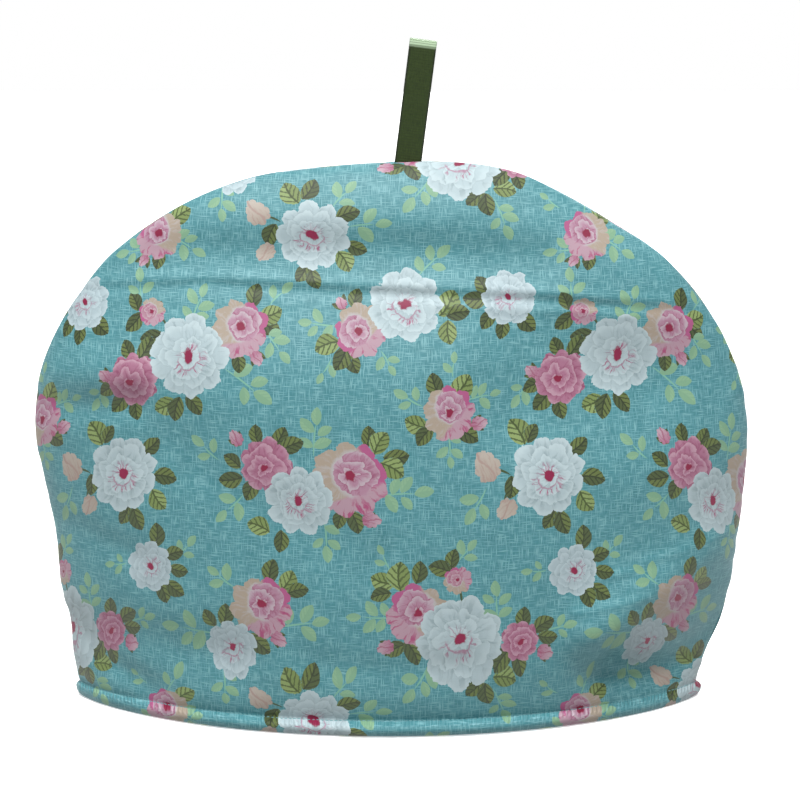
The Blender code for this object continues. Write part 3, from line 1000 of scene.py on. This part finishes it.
def flower_paint(node, count):
    """Colour and cover of the flowers."""
    place = topmost(node, "flower", count, partial(inside_flower, node))
    cover = inside_flower(node, place)
    outer_radius, outer_angle, _, axes = polar(node, place)
    number = axes[2]
    blush = node("Math:COMPARE", number, 5.0, 1.0)
    rose = node("Math:COMPARE", number, 3.5, 0.5)
    white = node("Math:LESS_THAN", number, 3.0)
    closed = node("Math:GREATER_THAN", number, 6.0)
    heart_place = place
    for kind, shift in ((blush, HEART_SHIFTS["blush"]), (rose, HEART_SHIFTS["rose"])):
        moved = node("VectorMath:MULTIPLY", shift, node("CombineXYZ", kind, kind, 0.0))
        heart_place = node("VectorMath:ADD", heart_place, moved)
    radius, angle, arrow, _ = polar(node, heart_place)

    outer = (outer_radius, outer_angle)
    ring_depth, ring_gap = petals_in_rings(node, outer, radius, angle, arrow, number)
    turn_depth, turn_gap = petals_in_a_spiral(node, radius, angle, arrow, number)
    depth = node("Mix", white, named={2: turn_depth, 3: ring_depth})
    gap = node("Mix", white, named={2: turn_gap, 3: ring_gap})

    dark, petal, rim, heart = (palette(node, number, FLOWER_COLOURS, k) for k in range(4))
    fine = round_noise(node, arrow, number, radius, 7.5, 2.2, 20.0, detail=2.0)
    strokes = node("MapRange", fine, 0.52, 0.64, 0.0, 1.0)
    at_base = node("MapRange", depth, 0.0, 0.85, 1.0, 0.15)
    shadow = node("MapRange", depth, 0.0, 0.22, 0.85, 0.0)
    broken = node("MapRange", fine, 0.35, 0.55, 0.35, 1.0)
    shadow = node("Math:MULTIPLY", shadow, broken)
    fainter = node("MapRange", white, 0.0, 1.0, 1.0, 0.55)
    shadow = node("Math:MULTIPLY", shadow, fainter)
    drawn = node("Math:MULTIPLY", strokes, at_base)
    drawn = node("Math:MAXIMUM", drawn, shadow)
    gap = node("Math:MULTIPLY", gap, 0.55)
    drawn = node("Math:MAXIMUM", drawn, gap)
    strength = node("MapRange", white, 0.0, 1.0, 0.85, 0.60)
    drawn = node("Math:MULTIPLY", drawn, strength)
    tip = node("MapRange", depth, 0.35, 0.95, 0.0, 0.9, interpolation_type="SMOOTHSTEP")

    above = node("MapRange", axes[1], -0.04, 0.06, 0.0, 1.0)
    below = node("MapRange", axes[1], -0.04, 0.06, 1.0, 0.0)
    fan = node("MapRange", radius, 0.16, 0.40, 1.0, 0.0)
    fan = node("Math:MULTIPLY", above, fan)
    past_arc = node("Math:SUBTRACT", radius, 0.40)
    past_arc = node("Math:ABSOLUTE", past_arc)
    fringe = node("MapRange", past_arc, 0.03, 0.12, 0.8, 0.0)
    fringe = node("Math:MULTIPLY", below, fringe)
    fan = node("Math:MAXIMUM", fan, fringe)
    fan = node("Math:MULTIPLY", fan, strokes)
    arc = node("Math:ABSOLUTE", node("Math:SUBTRACT", radius, 0.31))
    arc = node("MapRange", arc, 0.008, 0.03, 0.6, 0.0)
    arc = node("Math:MULTIPLY", arc, below)
    pink = node("Math:MAXIMUM", fan, arc)
    pink = node("Math:MULTIPLY", pink, white)

    from_rosette = node("VectorMath:ADD", place, ROSETTE_MIDDLE)
    from_rosette = polar(node, from_rosette)[0]
    behind = node("Math:GREATER_THAN", from_rosette, ROSETTE_RADIUS)
    behind = node("Math:MULTIPLY", behind, blush)
    streak = node("MapRange", fine, 0.5, 0.7, 0.0, 0.45)
    side = node("MapRange", axes[0], 0.12, 0.30, 0.0, 1.0, interpolation_type="SMOOTHSTEP")
    dashes = node("MapRange", outer_radius, 0.5, 0.75, 0.2, 0.9)
    dashes = node("Math:MULTIPLY", strokes, dashes)
    lower = in_coats(node, linear(LOWER_SIDE), (dashes, linear(PINK_STROKE)))
    down = node("Math:MULTIPLY_ADD", axes[0], -0.35, axes[1])
    down = node("MapRange", down, -0.46, -0.32, 1.0, 0.0, interpolation_type="SMOOTHSTEP")
    edge_light = node("MapRange", from_rosette, ROSETTE_RADIUS, ROSETTE_RADIUS + 0.10, 0.9, 0.0)
    on_left = node("MapRange", axes[0], 0.0, 0.25, 1.0, 0.0)
    edge_light = node("Math:MULTIPLY", edge_light, on_left)
    crescent = linear(CRESCENT)
    peach = (streak, crescent), (side, linear(PINK_SIDE))
    far = in_coats(node, linear(PEACH_SIDE), *peach, (down, lower), (edge_light, crescent))

    eye = node("MapRange", radius, HEART_RADIUS - 0.02, HEART_RADIUS + 0.02, 1.0, 0.0)
    bud = bud_paint(node, place, (dark, petal, rim))
    petals = (tip, rim), (drawn, dark), (pink, linear(PINK_STROKE))
    return in_coats(node, petal, *petals, (behind, far), (eye, heart), (closed, bud)), cover


# %% [markdown]
# The cloth's own look is under and over the print: the paler lines of the ground, which
# are noise stretched thirteen times one way and then the other, and the same lines as a
# shallow relief over everything, because the thread runs under the flowers too. The
# relief is 0.06 mm high, about a fifth of a thread.


# %% Cloth ground and the whole print
THREAD_MM, SLUB_MM = 0.46, 6.0
THREAD_RELIEF_M, PUCKER_M = 0.00006, 0.00042
CLOTH_UNIT_MM = 100.0


def thread_lines(node, low, high):
    """Two sets of fine lines, level and upright, each from stretched noise."""
    cloth = node("UVMap", uv_map="cloth")
    fine, long = CLOTH_UNIT_MM / THREAD_MM, CLOTH_UNIT_MM / SLUB_MM
    sets = []
    for stretch in ((fine, long, 0.0), (long, fine, 3.0)):
        spread = node("VectorMath:MULTIPLY", cloth, stretch)
        noise = node("TexNoise", named={"Vector": spread, "Scale": 1.0, "Detail": 1.0})
        sets.append(node("MapRange", noise, low, high, 0.0, 1.0))
    return node("Math:MAXIMUM", *sets)


def stitch_puckers(node):
    """Small pillows between the stitches, along the top of the hem roll: a cosine of u,
    one wave for each stitch, under a bell curve of v."""
    axes = node("SeparateXYZ", node("UVMap", uv_map="cloth")).node.outputs
    turns = node("Math:MULTIPLY", axes[0], 2 * np.pi * CLOTH_UNIT_MM / STITCH_PITCH_MM)
    wave = node("Math:MULTIPLY_ADD", node("Math:COSINE", turns), 0.5, 0.5)
    high = (STITCH_HEIGHT_MM - 0.8) / CLOTH_UNIT_MM
    off = node("Math:ABSOLUTE", node("Math:SUBTRACT", axes[1], high))
    bell = node("MapRange", off, 0.003, 0.015, 1.0, 0.0, interpolation_type="SMOOTHSTEP")
    return node("Math:MULTIPLY", wave, bell)


def printed_cotton():
    """Plain-weave cotton with a rose chintz print: matt, with a soft sheen from the loose
    fibre ends on its surface."""
    material = bpy.data.materials.new("printed_plain_weave_cotton")
    material.use_nodes = True
    tree = material.node_tree
    node = partial(add, tree)
    shader = tree.nodes["Principled BSDF"]
    lines = thread_lines(node, 0.50, 0.70)
    cloth = node("UVMap", uv_map="cloth")
    cloudy = node("TexNoise", named={"Vector": cloth, "Scale": 9.0, "Detail": 4.0})
    cloudy = node("MapRange", cloudy, 0.3, 0.7, 0.0, 1.0)
    faint = node("Math:MULTIPLY", lines, 0.62)
    deep, body, thread = (linear(GROUND[part]) for part in ("deep", "body", "thread"))
    leaf, leaf_cover = leaf_paint(node, SCREENS["leaf"])
    flower, flower_cover = flower_paint(node, SCREENS["flower"])
    printed = (leaf_cover, leaf), (flower_cover, flower)
    paint = in_coats(node, deep, (cloudy, body), (faint, thread), *printed)
    tree.links.new(paint, shader.inputs["Base Color"])
    bump = {"Height": stitch_puckers(node), "Strength": 1.0, "Distance": PUCKER_M}
    bump = node("Bump", named=bump)
    bump = {"Height": lines, "Strength": 0.35, "Distance": THREAD_RELIEF_M, "Normal": bump}
    bump = node("Bump", named=bump)
    tree.links.new(bump, shader.inputs["Normal"])
    shader.inputs["Roughness"].default_value = 0.58
    shader.inputs["IOR"].default_value = 1.47
    shader.inputs["Sheen Weight"].default_value = 0.18
    shader.inputs["Sheen Roughness"].default_value = 0.4
    return material


def cotton_reverse():
    """The wrong side of the cloth, where little of the dye comes through: pale and matt."""
    material = bpy.data.materials.new("cotton_wrong_side")
    material.use_nodes = True
    tree = material.node_tree
    node = partial(add, tree)
    shader = tree.nodes["Principled BSDF"]
    lines = thread_lines(node, 0.45, 0.7)
    faint = node("Math:MULTIPLY", lines, 0.5)
    paint = in_coats(node, linear("#86B3B7"), (faint, linear("#B5D5D6")))
    tree.links.new(paint, shader.inputs["Base Color"])
    bump = {"Height": lines, "Strength": 0.4, "Distance": THREAD_RELIEF_M}
    bump = node("Bump", named=bump)
    tree.links.new(bump, shader.inputs["Normal"])
    shader.inputs["Roughness"].default_value = 0.8
    return material


COTTON, REVERSE = printed_cotton(), cotton_reverse()
print(len(COTTON.node_tree.nodes), "nodes draw the printed cotton")

# %% [markdown]
# ## The two panels
#
# Each panel is one closed skin: the fine outer face, a plain inner face with half as many
# rows and columns, and narrow strips that join them along the hem and along the seam. A
# strip's faces have five corners, two on the inner edge and three on the outer one.

# %% Build the panels
HEM_TURN_MM = 12.0


def panel_faces(rows, columns):
    """Point numbers of the faces: outer, inner, hem strip and seam strips, in that order."""
    outer = np.arange(rows * (columns + 1)).reshape(rows, columns + 1)
    half_rows, half_columns = (rows + 1) // 2, columns // 2
    inner = outer.size + np.arange(half_rows * (half_columns + 1))
    inner = inner.reshape(half_rows, half_columns + 1)
    poles = outer.size + inner.size + np.arange(2)

    def quads(grid):
        corners = (grid[:-1, :-1], grid[:-1, 1:], grid[1:, 1:], grid[1:, :-1])
        return np.stack(corners, axis=-1).reshape(-1, 4)

    def strip(fine, coarse):
        corners = (coarse[:-1], coarse[1:], fine[2::2], fine[1::2], fine[:-1:2])
        return np.stack(corners, axis=-1)

    crown = [[a, b, poles[0]] for a, b in zip(outer[-1, :-1], outer[-1, 1:])]
    inner_crown = [[b, a, poles[1]] for a, b in zip(inner[-1, :-1], inner[-1, 1:])]
    hem = strip(outer[0], inner[0]).tolist()
    seams = strip(outer[:, -1], inner[:, -1]).tolist()
    seams += strip(outer[:, 0], inner[:, 0])[:, ::-1].tolist()
    seams.append([inner[-1, -1], poles[1], poles[0], outer[-1, -1]])
    seams.append([outer[-1, 0], poles[0], poles[1], inner[-1, 0]])
    return quads(outer), quads(inner)[:, ::-1], crown, inner_crown, hem, seams


def build_panel(name, side, creases, seed, cut_from):
    """One padded panel. side is -1 in front and 1 behind, and cut_from is the place on the
    printed cloth, in millimetres, that comes to the middle of its hem."""
    outer = wall(HEIGHTS, COLUMNS, False, creases)
    u, v = cloth_places(outer)
    outer = outer + outward(outer) * fine_relief(outer, u, v, seed)[..., None]
    outer = seam_groove(outer)
    inner = wall(HEIGHTS[::2], COLUMNS // 2, True, creases)
    inner_u, inner_v = cloth_places(inner)
    crown_x = LEVELS_MM[-1, 1]
    poles = [[crown_x, 0.0, CROWN_MM - 0.8], [crown_x, 0.0, CROWN_MM - SEAM_EDGE_MM]]
    points = np.vstack([outer.reshape(-1, 3), inner.reshape(-1, 3), poles])
    points[:, 1] = side * (points[:, 1].clip(0.0) + SEAM_GAP_MM / 2)
    places = np.vstack(
        [
            np.stack([u, v], axis=-1).reshape(-1, 2),
            np.stack([inner_u, inner_v], axis=-1).reshape(-1, 2),
            [[crown_x, v.max()], [crown_x, inner_v.max()]],
        ]
    )
    outer_faces, inner_faces, crown, inner_crown, hem, seams = panel_faces(len(u), COLUMNS)
    turn = slice(None, None, -1) if side > 0 else slice(None)
    outer_faces, inner_faces = outer_faces[:, turn], inner_faces[:, turn]
    rest = [face[turn] for face in [*crown, *inner_crown, *hem, *seams]]
    faces = outer_faces.tolist() + inner_faces.tolist() + rest
    made = surface_object(name, points, faces, (COTTON, REVERSE))
    mesh = made.data

    plain = np.zeros(len(faces), dtype=np.int32)
    first = len(outer_faces)
    inner_height = points[inner_faces, 2].mean(axis=1)
    plain[first : first + len(inner_faces)] = inner_height > HEM_TURN_MM
    crowns = first + len(inner_faces) + len(crown)
    plain[crowns : crowns + len(inner_crown)] = 1
    mesh.polygons.foreach_set("material_index", plain)

    corner_points = np.empty(len(mesh.loops), dtype=np.int32)
    mesh.loops.foreach_get("vertex_index", corner_points)
    cloth = mesh.uv_layers.new(name="cloth")
    cloth.data.foreach_set("uv", (places[corner_points] / CLOTH_UNIT_MM).ravel())
    corners = places[outer_faces]
    printed_v = print_places(corners[..., 0], corners[..., 1])
    corners = np.stack([corners[..., 0], printed_v], axis=-1) + cut_from
    for layer, stamps in (("leaf", leaf_stamps()), ("flower", flower_stamps())):
        low, high = corners.min(axis=(0, 1)), corners.max(axis=(0, 1))
        lay_screens(repeated(stamps, low, high), corners, layer, mesh)
    mesh.set_sharp_from_angle(angle=np.radians(50.0))
    return made, outer


front, front_face = build_panel("front_cloth", -1, FRONT_CREASES_MM, 11, (0.0, 0.0))
back, back_face = build_panel("back_cloth", 1, BACK_CREASES_MM, 23, (118.0, 64.0))

# %% [markdown]
# ## The stitches along the hem
#
# A lockstitch shows as a row of short thread lengths, each sunk a little at its ends. One
# stitch is a slim six-sided spindle of a few faces. numpy works out the points of the whole
# row at once, and they make one mesh.

# %% Stitches
STITCH_LENGTH_MM, STITCH_RADIUS_MM, STITCH_LIFT_MM = 1.6, 0.25, 0.02
SPINDLE_END = 0.97


def spindle(sides=6, rings=5):
    """A spindle along x from -1 to 1: its radius is (1 - x ** 4) ** 0.5, where x is taken
    as 0.97 at most, so that each end is a small cap."""
    x = np.linspace(-1.0, 1.0, rings)
    radius = np.sqrt(1.0 - np.minimum(np.abs(x), SPINDLE_END) ** 4)
    around = np.arange(sides) * 2 * np.pi / sides
    points = np.stack(
        [
            np.repeat(x, sides),
            np.outer(radius, np.cos(around)).ravel(),
            np.outer(radius, np.sin(around)).ravel(),
        ],
        axis=-1,
    )
    ring = np.arange(sides)
    faces = []
    for i in range(rings - 1):
        a, b = i * sides + ring, i * sides + np.roll(ring, -1)
        faces += np.stack([a, b, b + sides, a + sides], axis=-1).tolist()
    faces.append(ring[::-1].tolist())
    faces.append((ring + (rings - 1) * sides).tolist())
    return points, faces


def hem_stitches(grid, side, name, material):
    """Spindles along the grid row at the stitch height, one for each stitch pitch."""
    row = int(np.flatnonzero(FINE_HEM_MM == STITCH_HEIGHT_MM)[0])
    line = grid[row].copy()
    line[:, 1] = side * (line[:, 1] + SEAM_GAP_MM / 2)
    out = outward(grid)[row] * (1.0, side, 1.0)
    length = np.r_[0.0, np.cumsum(np.linalg.norm(np.diff(line, axis=0), axis=1))]
    middles = np.arange(STITCH_PITCH_MM, length[-1] - STITCH_PITCH_MM, STITCH_PITCH_MM)
    place = np.stack([np.interp(middles, length, line[:, k]) for k in range(3)], axis=-1)
    ahead = np.stack([np.interp(middles + 0.5, length, line[:, k]) for k in range(3)], axis=-1)
    along = ahead - place
    along /= np.linalg.norm(along, axis=1, keepdims=True)
    lift = np.stack([np.interp(middles, length, out[:, k]) for k in range(3)], axis=-1)
    lift -= (lift * along).sum(axis=1, keepdims=True) * along
    lift /= np.linalg.norm(lift, axis=1, keepdims=True)
    across = np.cross(lift, along)
    one, one_faces = spindle()
    points = (
        (place + STITCH_LIFT_MM * lift)[:, None, :]
        + one[None, :, :1] * along[:, None, :] * STITCH_LENGTH_MM / 2
        + one[None, :, 1:2] * across[:, None, :] * STITCH_RADIUS_MM
        + one[None, :, 2:] * lift[:, None, :] * STITCH_RADIUS_MM
    )
    starts = range(0, len(middles) * len(one), len(one))
    faces = [[point + start for point in face] for start in starts for face in one_faces]
    return surface_object(name, points.reshape(-1, 3), faces, (material,))


def sewing_thread():
    """Spun polyester thread: a slight sheen, and a twist too fine to show, so only its
    tone varies from stitch to stitch."""
    material = bpy.data.materials.new("spun_polyester_thread")
    material.use_nodes = True
    tree = material.node_tree
    node = partial(add, tree)
    shader = tree.nodes["Principled BSDF"]
    spots = node("TexNoise", node("TexCoord", out=3), named={"Scale": 700.0, "Detail": 1.0})
    paint = in_coats(node, linear("#5C8B91"), (spots, linear("#76A3A8")))
    tree.links.new(paint, shader.inputs["Base Color"])
    shader.inputs["Roughness"].default_value = 0.45
    return material


THREAD = sewing_thread()
front_stitches = hem_stitches(front_face, -1, "front_hem_stitches", THREAD)
back_stitches = hem_stitches(back_face, 1, "back_hem_stitches", THREAD)

# %% [markdown]
# ## The ribbon loop
#
# Grosgrain is a ribbon with fine ribs straight across it and firm woven edges. It is
# folded in half, and its two ends are caught in the seam. The profile, a flat oblong with
# round ends, is carried along the loop's path, and the ribs are a cosine of the length
# along it, 1.3 mm apart.

# %% Ribbon path and profile
RIBBON_WIDTH_MM = 12.4
RIBBON_THICKNESS_MM = 0.8
RIBBON_RISE_MM = 55.0
RIBBON_TUCK_MM = 4.5
RIBBON_FOLD_MM = 4.0
RIBBON_ROOT_X_MM = 8.5
RIBBON_LEGS_GAP_MM, RIBBON_EDGE_MM, SELVEDGE_MM = 0.4, 0.35, 0.9
RIBBON_LEAN = np.radians(7.2)
RIB_PITCH_MM, RIB_HEIGHT_MM = 1.3, 0.11
RIBBON_STEPS = 620


def ribbon_path():
    """The loop's centre line from the side, as y and z above the seam: up one leg, round
    the fold and down the other, in even steps."""
    leg_y = (RIBBON_THICKNESS_MM + RIBBON_LEGS_GAP_MM) / 2
    straight = RIBBON_RISE_MM - RIBBON_FOLD_MM
    rise = np.linspace(-RIBBON_TUCK_MM, straight, 80)
    swell = np.sin(np.clip(rise / straight, 0.0, 1.0) * np.pi / 2) ** 1.5
    leg = np.column_stack([leg_y + (RIBBON_FOLD_MM - leg_y) * swell, rise])
    turn = np.linspace(0.0, np.pi, 40)[1:-1]
    fold = RIBBON_FOLD_MM * np.column_stack([np.cos(turn), np.sin(turn)]) + (0.0, straight)
    path = np.vstack([leg, fold, (leg * (-1.0, 1.0))[::-1]])
    length = np.r_[0.0, np.cumsum(np.linalg.norm(np.diff(path, axis=0), axis=1))]
    even = np.linspace(0.0, length[-1], RIBBON_STEPS + 1)
    return even, np.column_stack([np.interp(even, length, path[:, k]) for k in (0, 1)])


def ribbon_profile(flat_steps=16, round_steps=3):
    """The oblong as x across and a lift from -1 to 1, once round it."""
    half = RIBBON_WIDTH_MM / 2 - RIBBON_EDGE_MM
    flat = np.linspace(-1.0, 1.0, flat_steps + 1) * half
    bend = np.linspace(-np.pi / 2, np.pi / 2, round_steps + 2)[1:-1]
    side = np.column_stack([half + RIBBON_EDGE_MM * np.cos(bend), np.sin(bend)])
    bottom = np.column_stack([flat, np.full_like(flat, -1.0)])
    return np.vstack([bottom, side, bottom[::-1] * (1, -1), side[::-1] * (-1, 1)])


def ribbon_loop(material):
    """The profile carried along the path. The lift gets the ribs, which stop short of the
    woven edges, and the whole loop leans to the right."""
    length, path = ribbon_path()
    heading = np.gradient(path, axis=0)
    heading /= np.linalg.norm(heading, axis=1, keepdims=True)
    out = np.column_stack([heading[:, 1], -heading[:, 0]])
    profile = ribbon_profile()
    ribbed_half = RIBBON_WIDTH_MM / 2 - SELVEDGE_MM
    ribbed = np.clip((ribbed_half - np.abs(profile[:, 0])) / 0.3, 0.0, 1.0)
    rib = RIB_HEIGHT_MM * (np.cos(2 * np.pi * length / RIB_PITCH_MM) - 1.0) / 2
    lift = RIBBON_THICKNESS_MM / 2 + rib[:, None] * ribbed[None, :]
    lift = lift * profile[None, :, 1]
    x = profile[None, :, 0]
    y = path[:, :1] + out[:, :1] * lift
    z = path[:, 1:] + out[:, 1:] * lift
    x, z = (
        RIBBON_ROOT_X_MM + x * np.cos(RIBBON_LEAN) + z * np.sin(RIBBON_LEAN),
        CROWN_MM - x * np.sin(RIBBON_LEAN) + z * np.cos(RIBBON_LEAN),
    )
    points = np.stack([x, np.broadcast_to(y, x.shape), z], axis=-1)
    steps, around = x.shape
    index = np.arange(steps * around).reshape(steps, around)
    beside = np.roll(index, -1, axis=1)
    faces = np.stack([index[:-1], beside[:-1], beside[1:], index[1:]], axis=-1).reshape(-1, 4)
    faces = faces.tolist() + [index[0][::-1].tolist(), index[-1].tolist()]
    made = surface_object("ribbon_strip", points.reshape(-1, 3), faces, (material,))
    mesh = made.data
    corner_points = np.empty(len(mesh.loops), dtype=np.int32)
    mesh.loops.foreach_get("vertex_index", corner_points)
    place = np.stack(np.broadcast_arrays(profile[None, :, 0], length[:, None]), axis=-1)
    strip = mesh.uv_layers.new(name="strip")
    strip.data.foreach_set("uv", (place.reshape(-1, 2)[corner_points] / 10.0).ravel())
    return made


def grosgrain():
    """Polyester grosgrain: a smooth filament yarn with a satin light along its ribs, so it
    is glossier than the cotton. The selvedges are darker, and a painted highlight lies pale on
    the round of the fold."""
    material = bpy.data.materials.new("polyester_grosgrain")
    material.use_nodes = True
    tree = material.node_tree
    node = partial(add, tree)
    shader = tree.nodes["Principled BSDF"]
    strip = node("UVMap", uv_map="strip")
    spread = node("VectorMath:MULTIPLY", strip, (28.0, 3.0, 0.0))
    grain = node("TexNoise", named={"Vector": spread, "Scale": 1.0, "Detail": 2.0})
    grain = node("MapRange", grain, 0.3, 0.7, 0.0, 1.0)
    axes = node("SeparateXYZ", strip).node.outputs
    side = node("Math:ABSOLUTE", axes[0])
    edge = node("MapRange", side, 0.50, 0.57, 0.0, 0.75)
    # Painted highlight: the round of the fold, where the light from above catches it, is
    # painted pale and broken by the ribs.
    top = RIBBON_LENGTH_MM / 2 / 10.0
    from_top = node("Math:ABSOLUTE", node("Math:SUBTRACT", axes[1], top))
    painted_fold_highlight = node("MapRange", from_top, 0.46, 0.62, 0.8, 0.0, interpolation_type="SMOOTHSTEP")
    rib = node("Math:MULTIPLY", axes[1], 2 * np.pi * 10.0 / RIB_PITCH_MM)
    rib = node("MapRange", node("Math:COSINE", rib), -1.0, 0.2, 0.45, 1.0)
    painted_fold_highlight = node("Math:MULTIPLY", painted_fold_highlight, rib)
    dull = (grain, linear("#303F17")), (edge, linear("#151D0E"))
    paint = in_coats(node, linear("#223010"), *dull, (painted_fold_highlight, linear("#A9C2A0")))
    tree.links.new(paint, shader.inputs["Base Color"])
    shader.inputs["Roughness"].default_value = 0.5
    shader.inputs["Specular IOR Level"].default_value = 0.22
    return material


RIBBON_LENGTH_MM = ribbon_path()[0][-1]
ribbon = ribbon_loop(grosgrain())
print(f"{RIBBON_LENGTH_MM:.1f} mm of ribbon in the loop")

# %% [markdown]
# ## Floor, light and camera
#
# The cosy stands on a plain white table in soft studio light: one large lamp high up in
# front, a small one nearer the cloth, a weak one behind for the far side, and an even white
# surround. The hem's underside is dark in the photograph, so the table throws no light back.

# %% Floor and light
def white_table():
    """A white acrylic sheet lit a little from below, so that shadows on it stay faint."""
    material = bpy.data.materials.new("white_acrylic_light_table")
    material.use_nodes = True
    shader = material.node_tree.nodes["Principled BSDF"]
    shader.inputs["Base Color"].default_value = linear("#FBFBFB")
    shader.inputs["Roughness"].default_value = 0.7
    shader.inputs["Emission Color"].default_value = linear("#FFFFFF")
    shader.inputs["Emission Strength"].default_value = 0.45
    return material


TABLE_HALF_MM = 6000.0
corners_mm = np.array([(-1, -1, 0), (1, -1, 0), (1, 1, 0), (-1, 1, 0)]) * TABLE_HALF_MM
floor = surface_object("table_top", corners_mm, [[0, 1, 2, 3]], (white_table(),), smooth=False)
# The light that the table would throw back on the cloth is left out here.
floor.visible_diffuse = False


def lamp(name, kind, place, aim, energy, **settings):
    """A lamp that shines from a place to an aim, both in metres, and isn't seen itself."""
    data = bpy.data.lights.new(name, kind)
    data.energy = energy
    for setting, value in settings.items():
        setattr(data, setting, value)
    made = bpy.data.objects.new(name, data)
    made.location = place
    made.rotation_euler = (Vector(place) - Vector(aim)).to_track_quat("Z", "Y").to_euler()
    made.visible_camera = False
    bpy.context.scene.collection.objects.link(made)


SOFT_EDGE = np.radians(28.0)
lamp("ceiling_panel", "SUN", (-0.06, -0.75, 2.0), (0, 0, 0), 3.5, angle=SOFT_EDGE)
lamp("near_softbox", "AREA", (-0.10, -0.52, 0.86), (0, 0, 0.2), 2.4, size=0.6)
lamp("rear_panel", "SUN", (0.5, 1.9, 1.05), (0, 0, 0), 1.5, angle=SOFT_EDGE)

AMBIENT = 0.35
world = bpy.data.worlds.new("white_surround")
world.use_nodes = True
surround = world.node_tree
background = surround.nodes["Background"]
background.inputs["Color"].default_value = linear("#FFFFFF")
seen = add(surround, "LightPath")
strength = add(surround, "Mix", seen, named={2: AMBIENT, 3: 1.0})
surround.links.new(strength, background.inputs["Strength"])
bpy.context.scene.world = world
bpy.context.scene.view_settings.view_transform = "Standard"

# %% [markdown]
# The camera looks down at the cosy by twelve degrees from 0.9 m. Its lens is 85.5 mm long
# on a 36 mm sensor, which gives the picture's perspective, and it stands 4.7 mm to the
# right of the cosy's middle.

# %% Camera
DISTANCE_M, LOOK_DOWN, AIM_M = 0.9, np.radians(12.0), (0.0047, 0.0, 0.147)
lens = bpy.data.cameras.new("camera")
lens.lens, lens.sensor_width = 85.5, 36.0
camera = bpy.data.objects.new("camera", lens)
camera.location = (
    AIM_M[0],
    AIM_M[1] - DISTANCE_M * np.cos(LOOK_DOWN),
    AIM_M[2] + DISTANCE_M * np.sin(LOOK_DOWN),
)
camera.rotation_euler = (np.pi / 2 - LOOK_DOWN, 0.0, 0.0)
bpy.context.scene.collection.objects.link(camera)
bpy.context.scene.camera = camera
print("camera at", tuple(round(x, 3) for x in camera.location))

# %% [markdown]
# ## Attaching the pieces
#
# Last, each piece is attached to the body that carries it, and the solids of the two
# panels and the ribbon loop are hidden.

for piece in (front, back, front_stitches, back_stitches, ribbon):
    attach(piece, "root")
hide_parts("front_panel")
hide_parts("back_panel")
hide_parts("ribbon_loop")
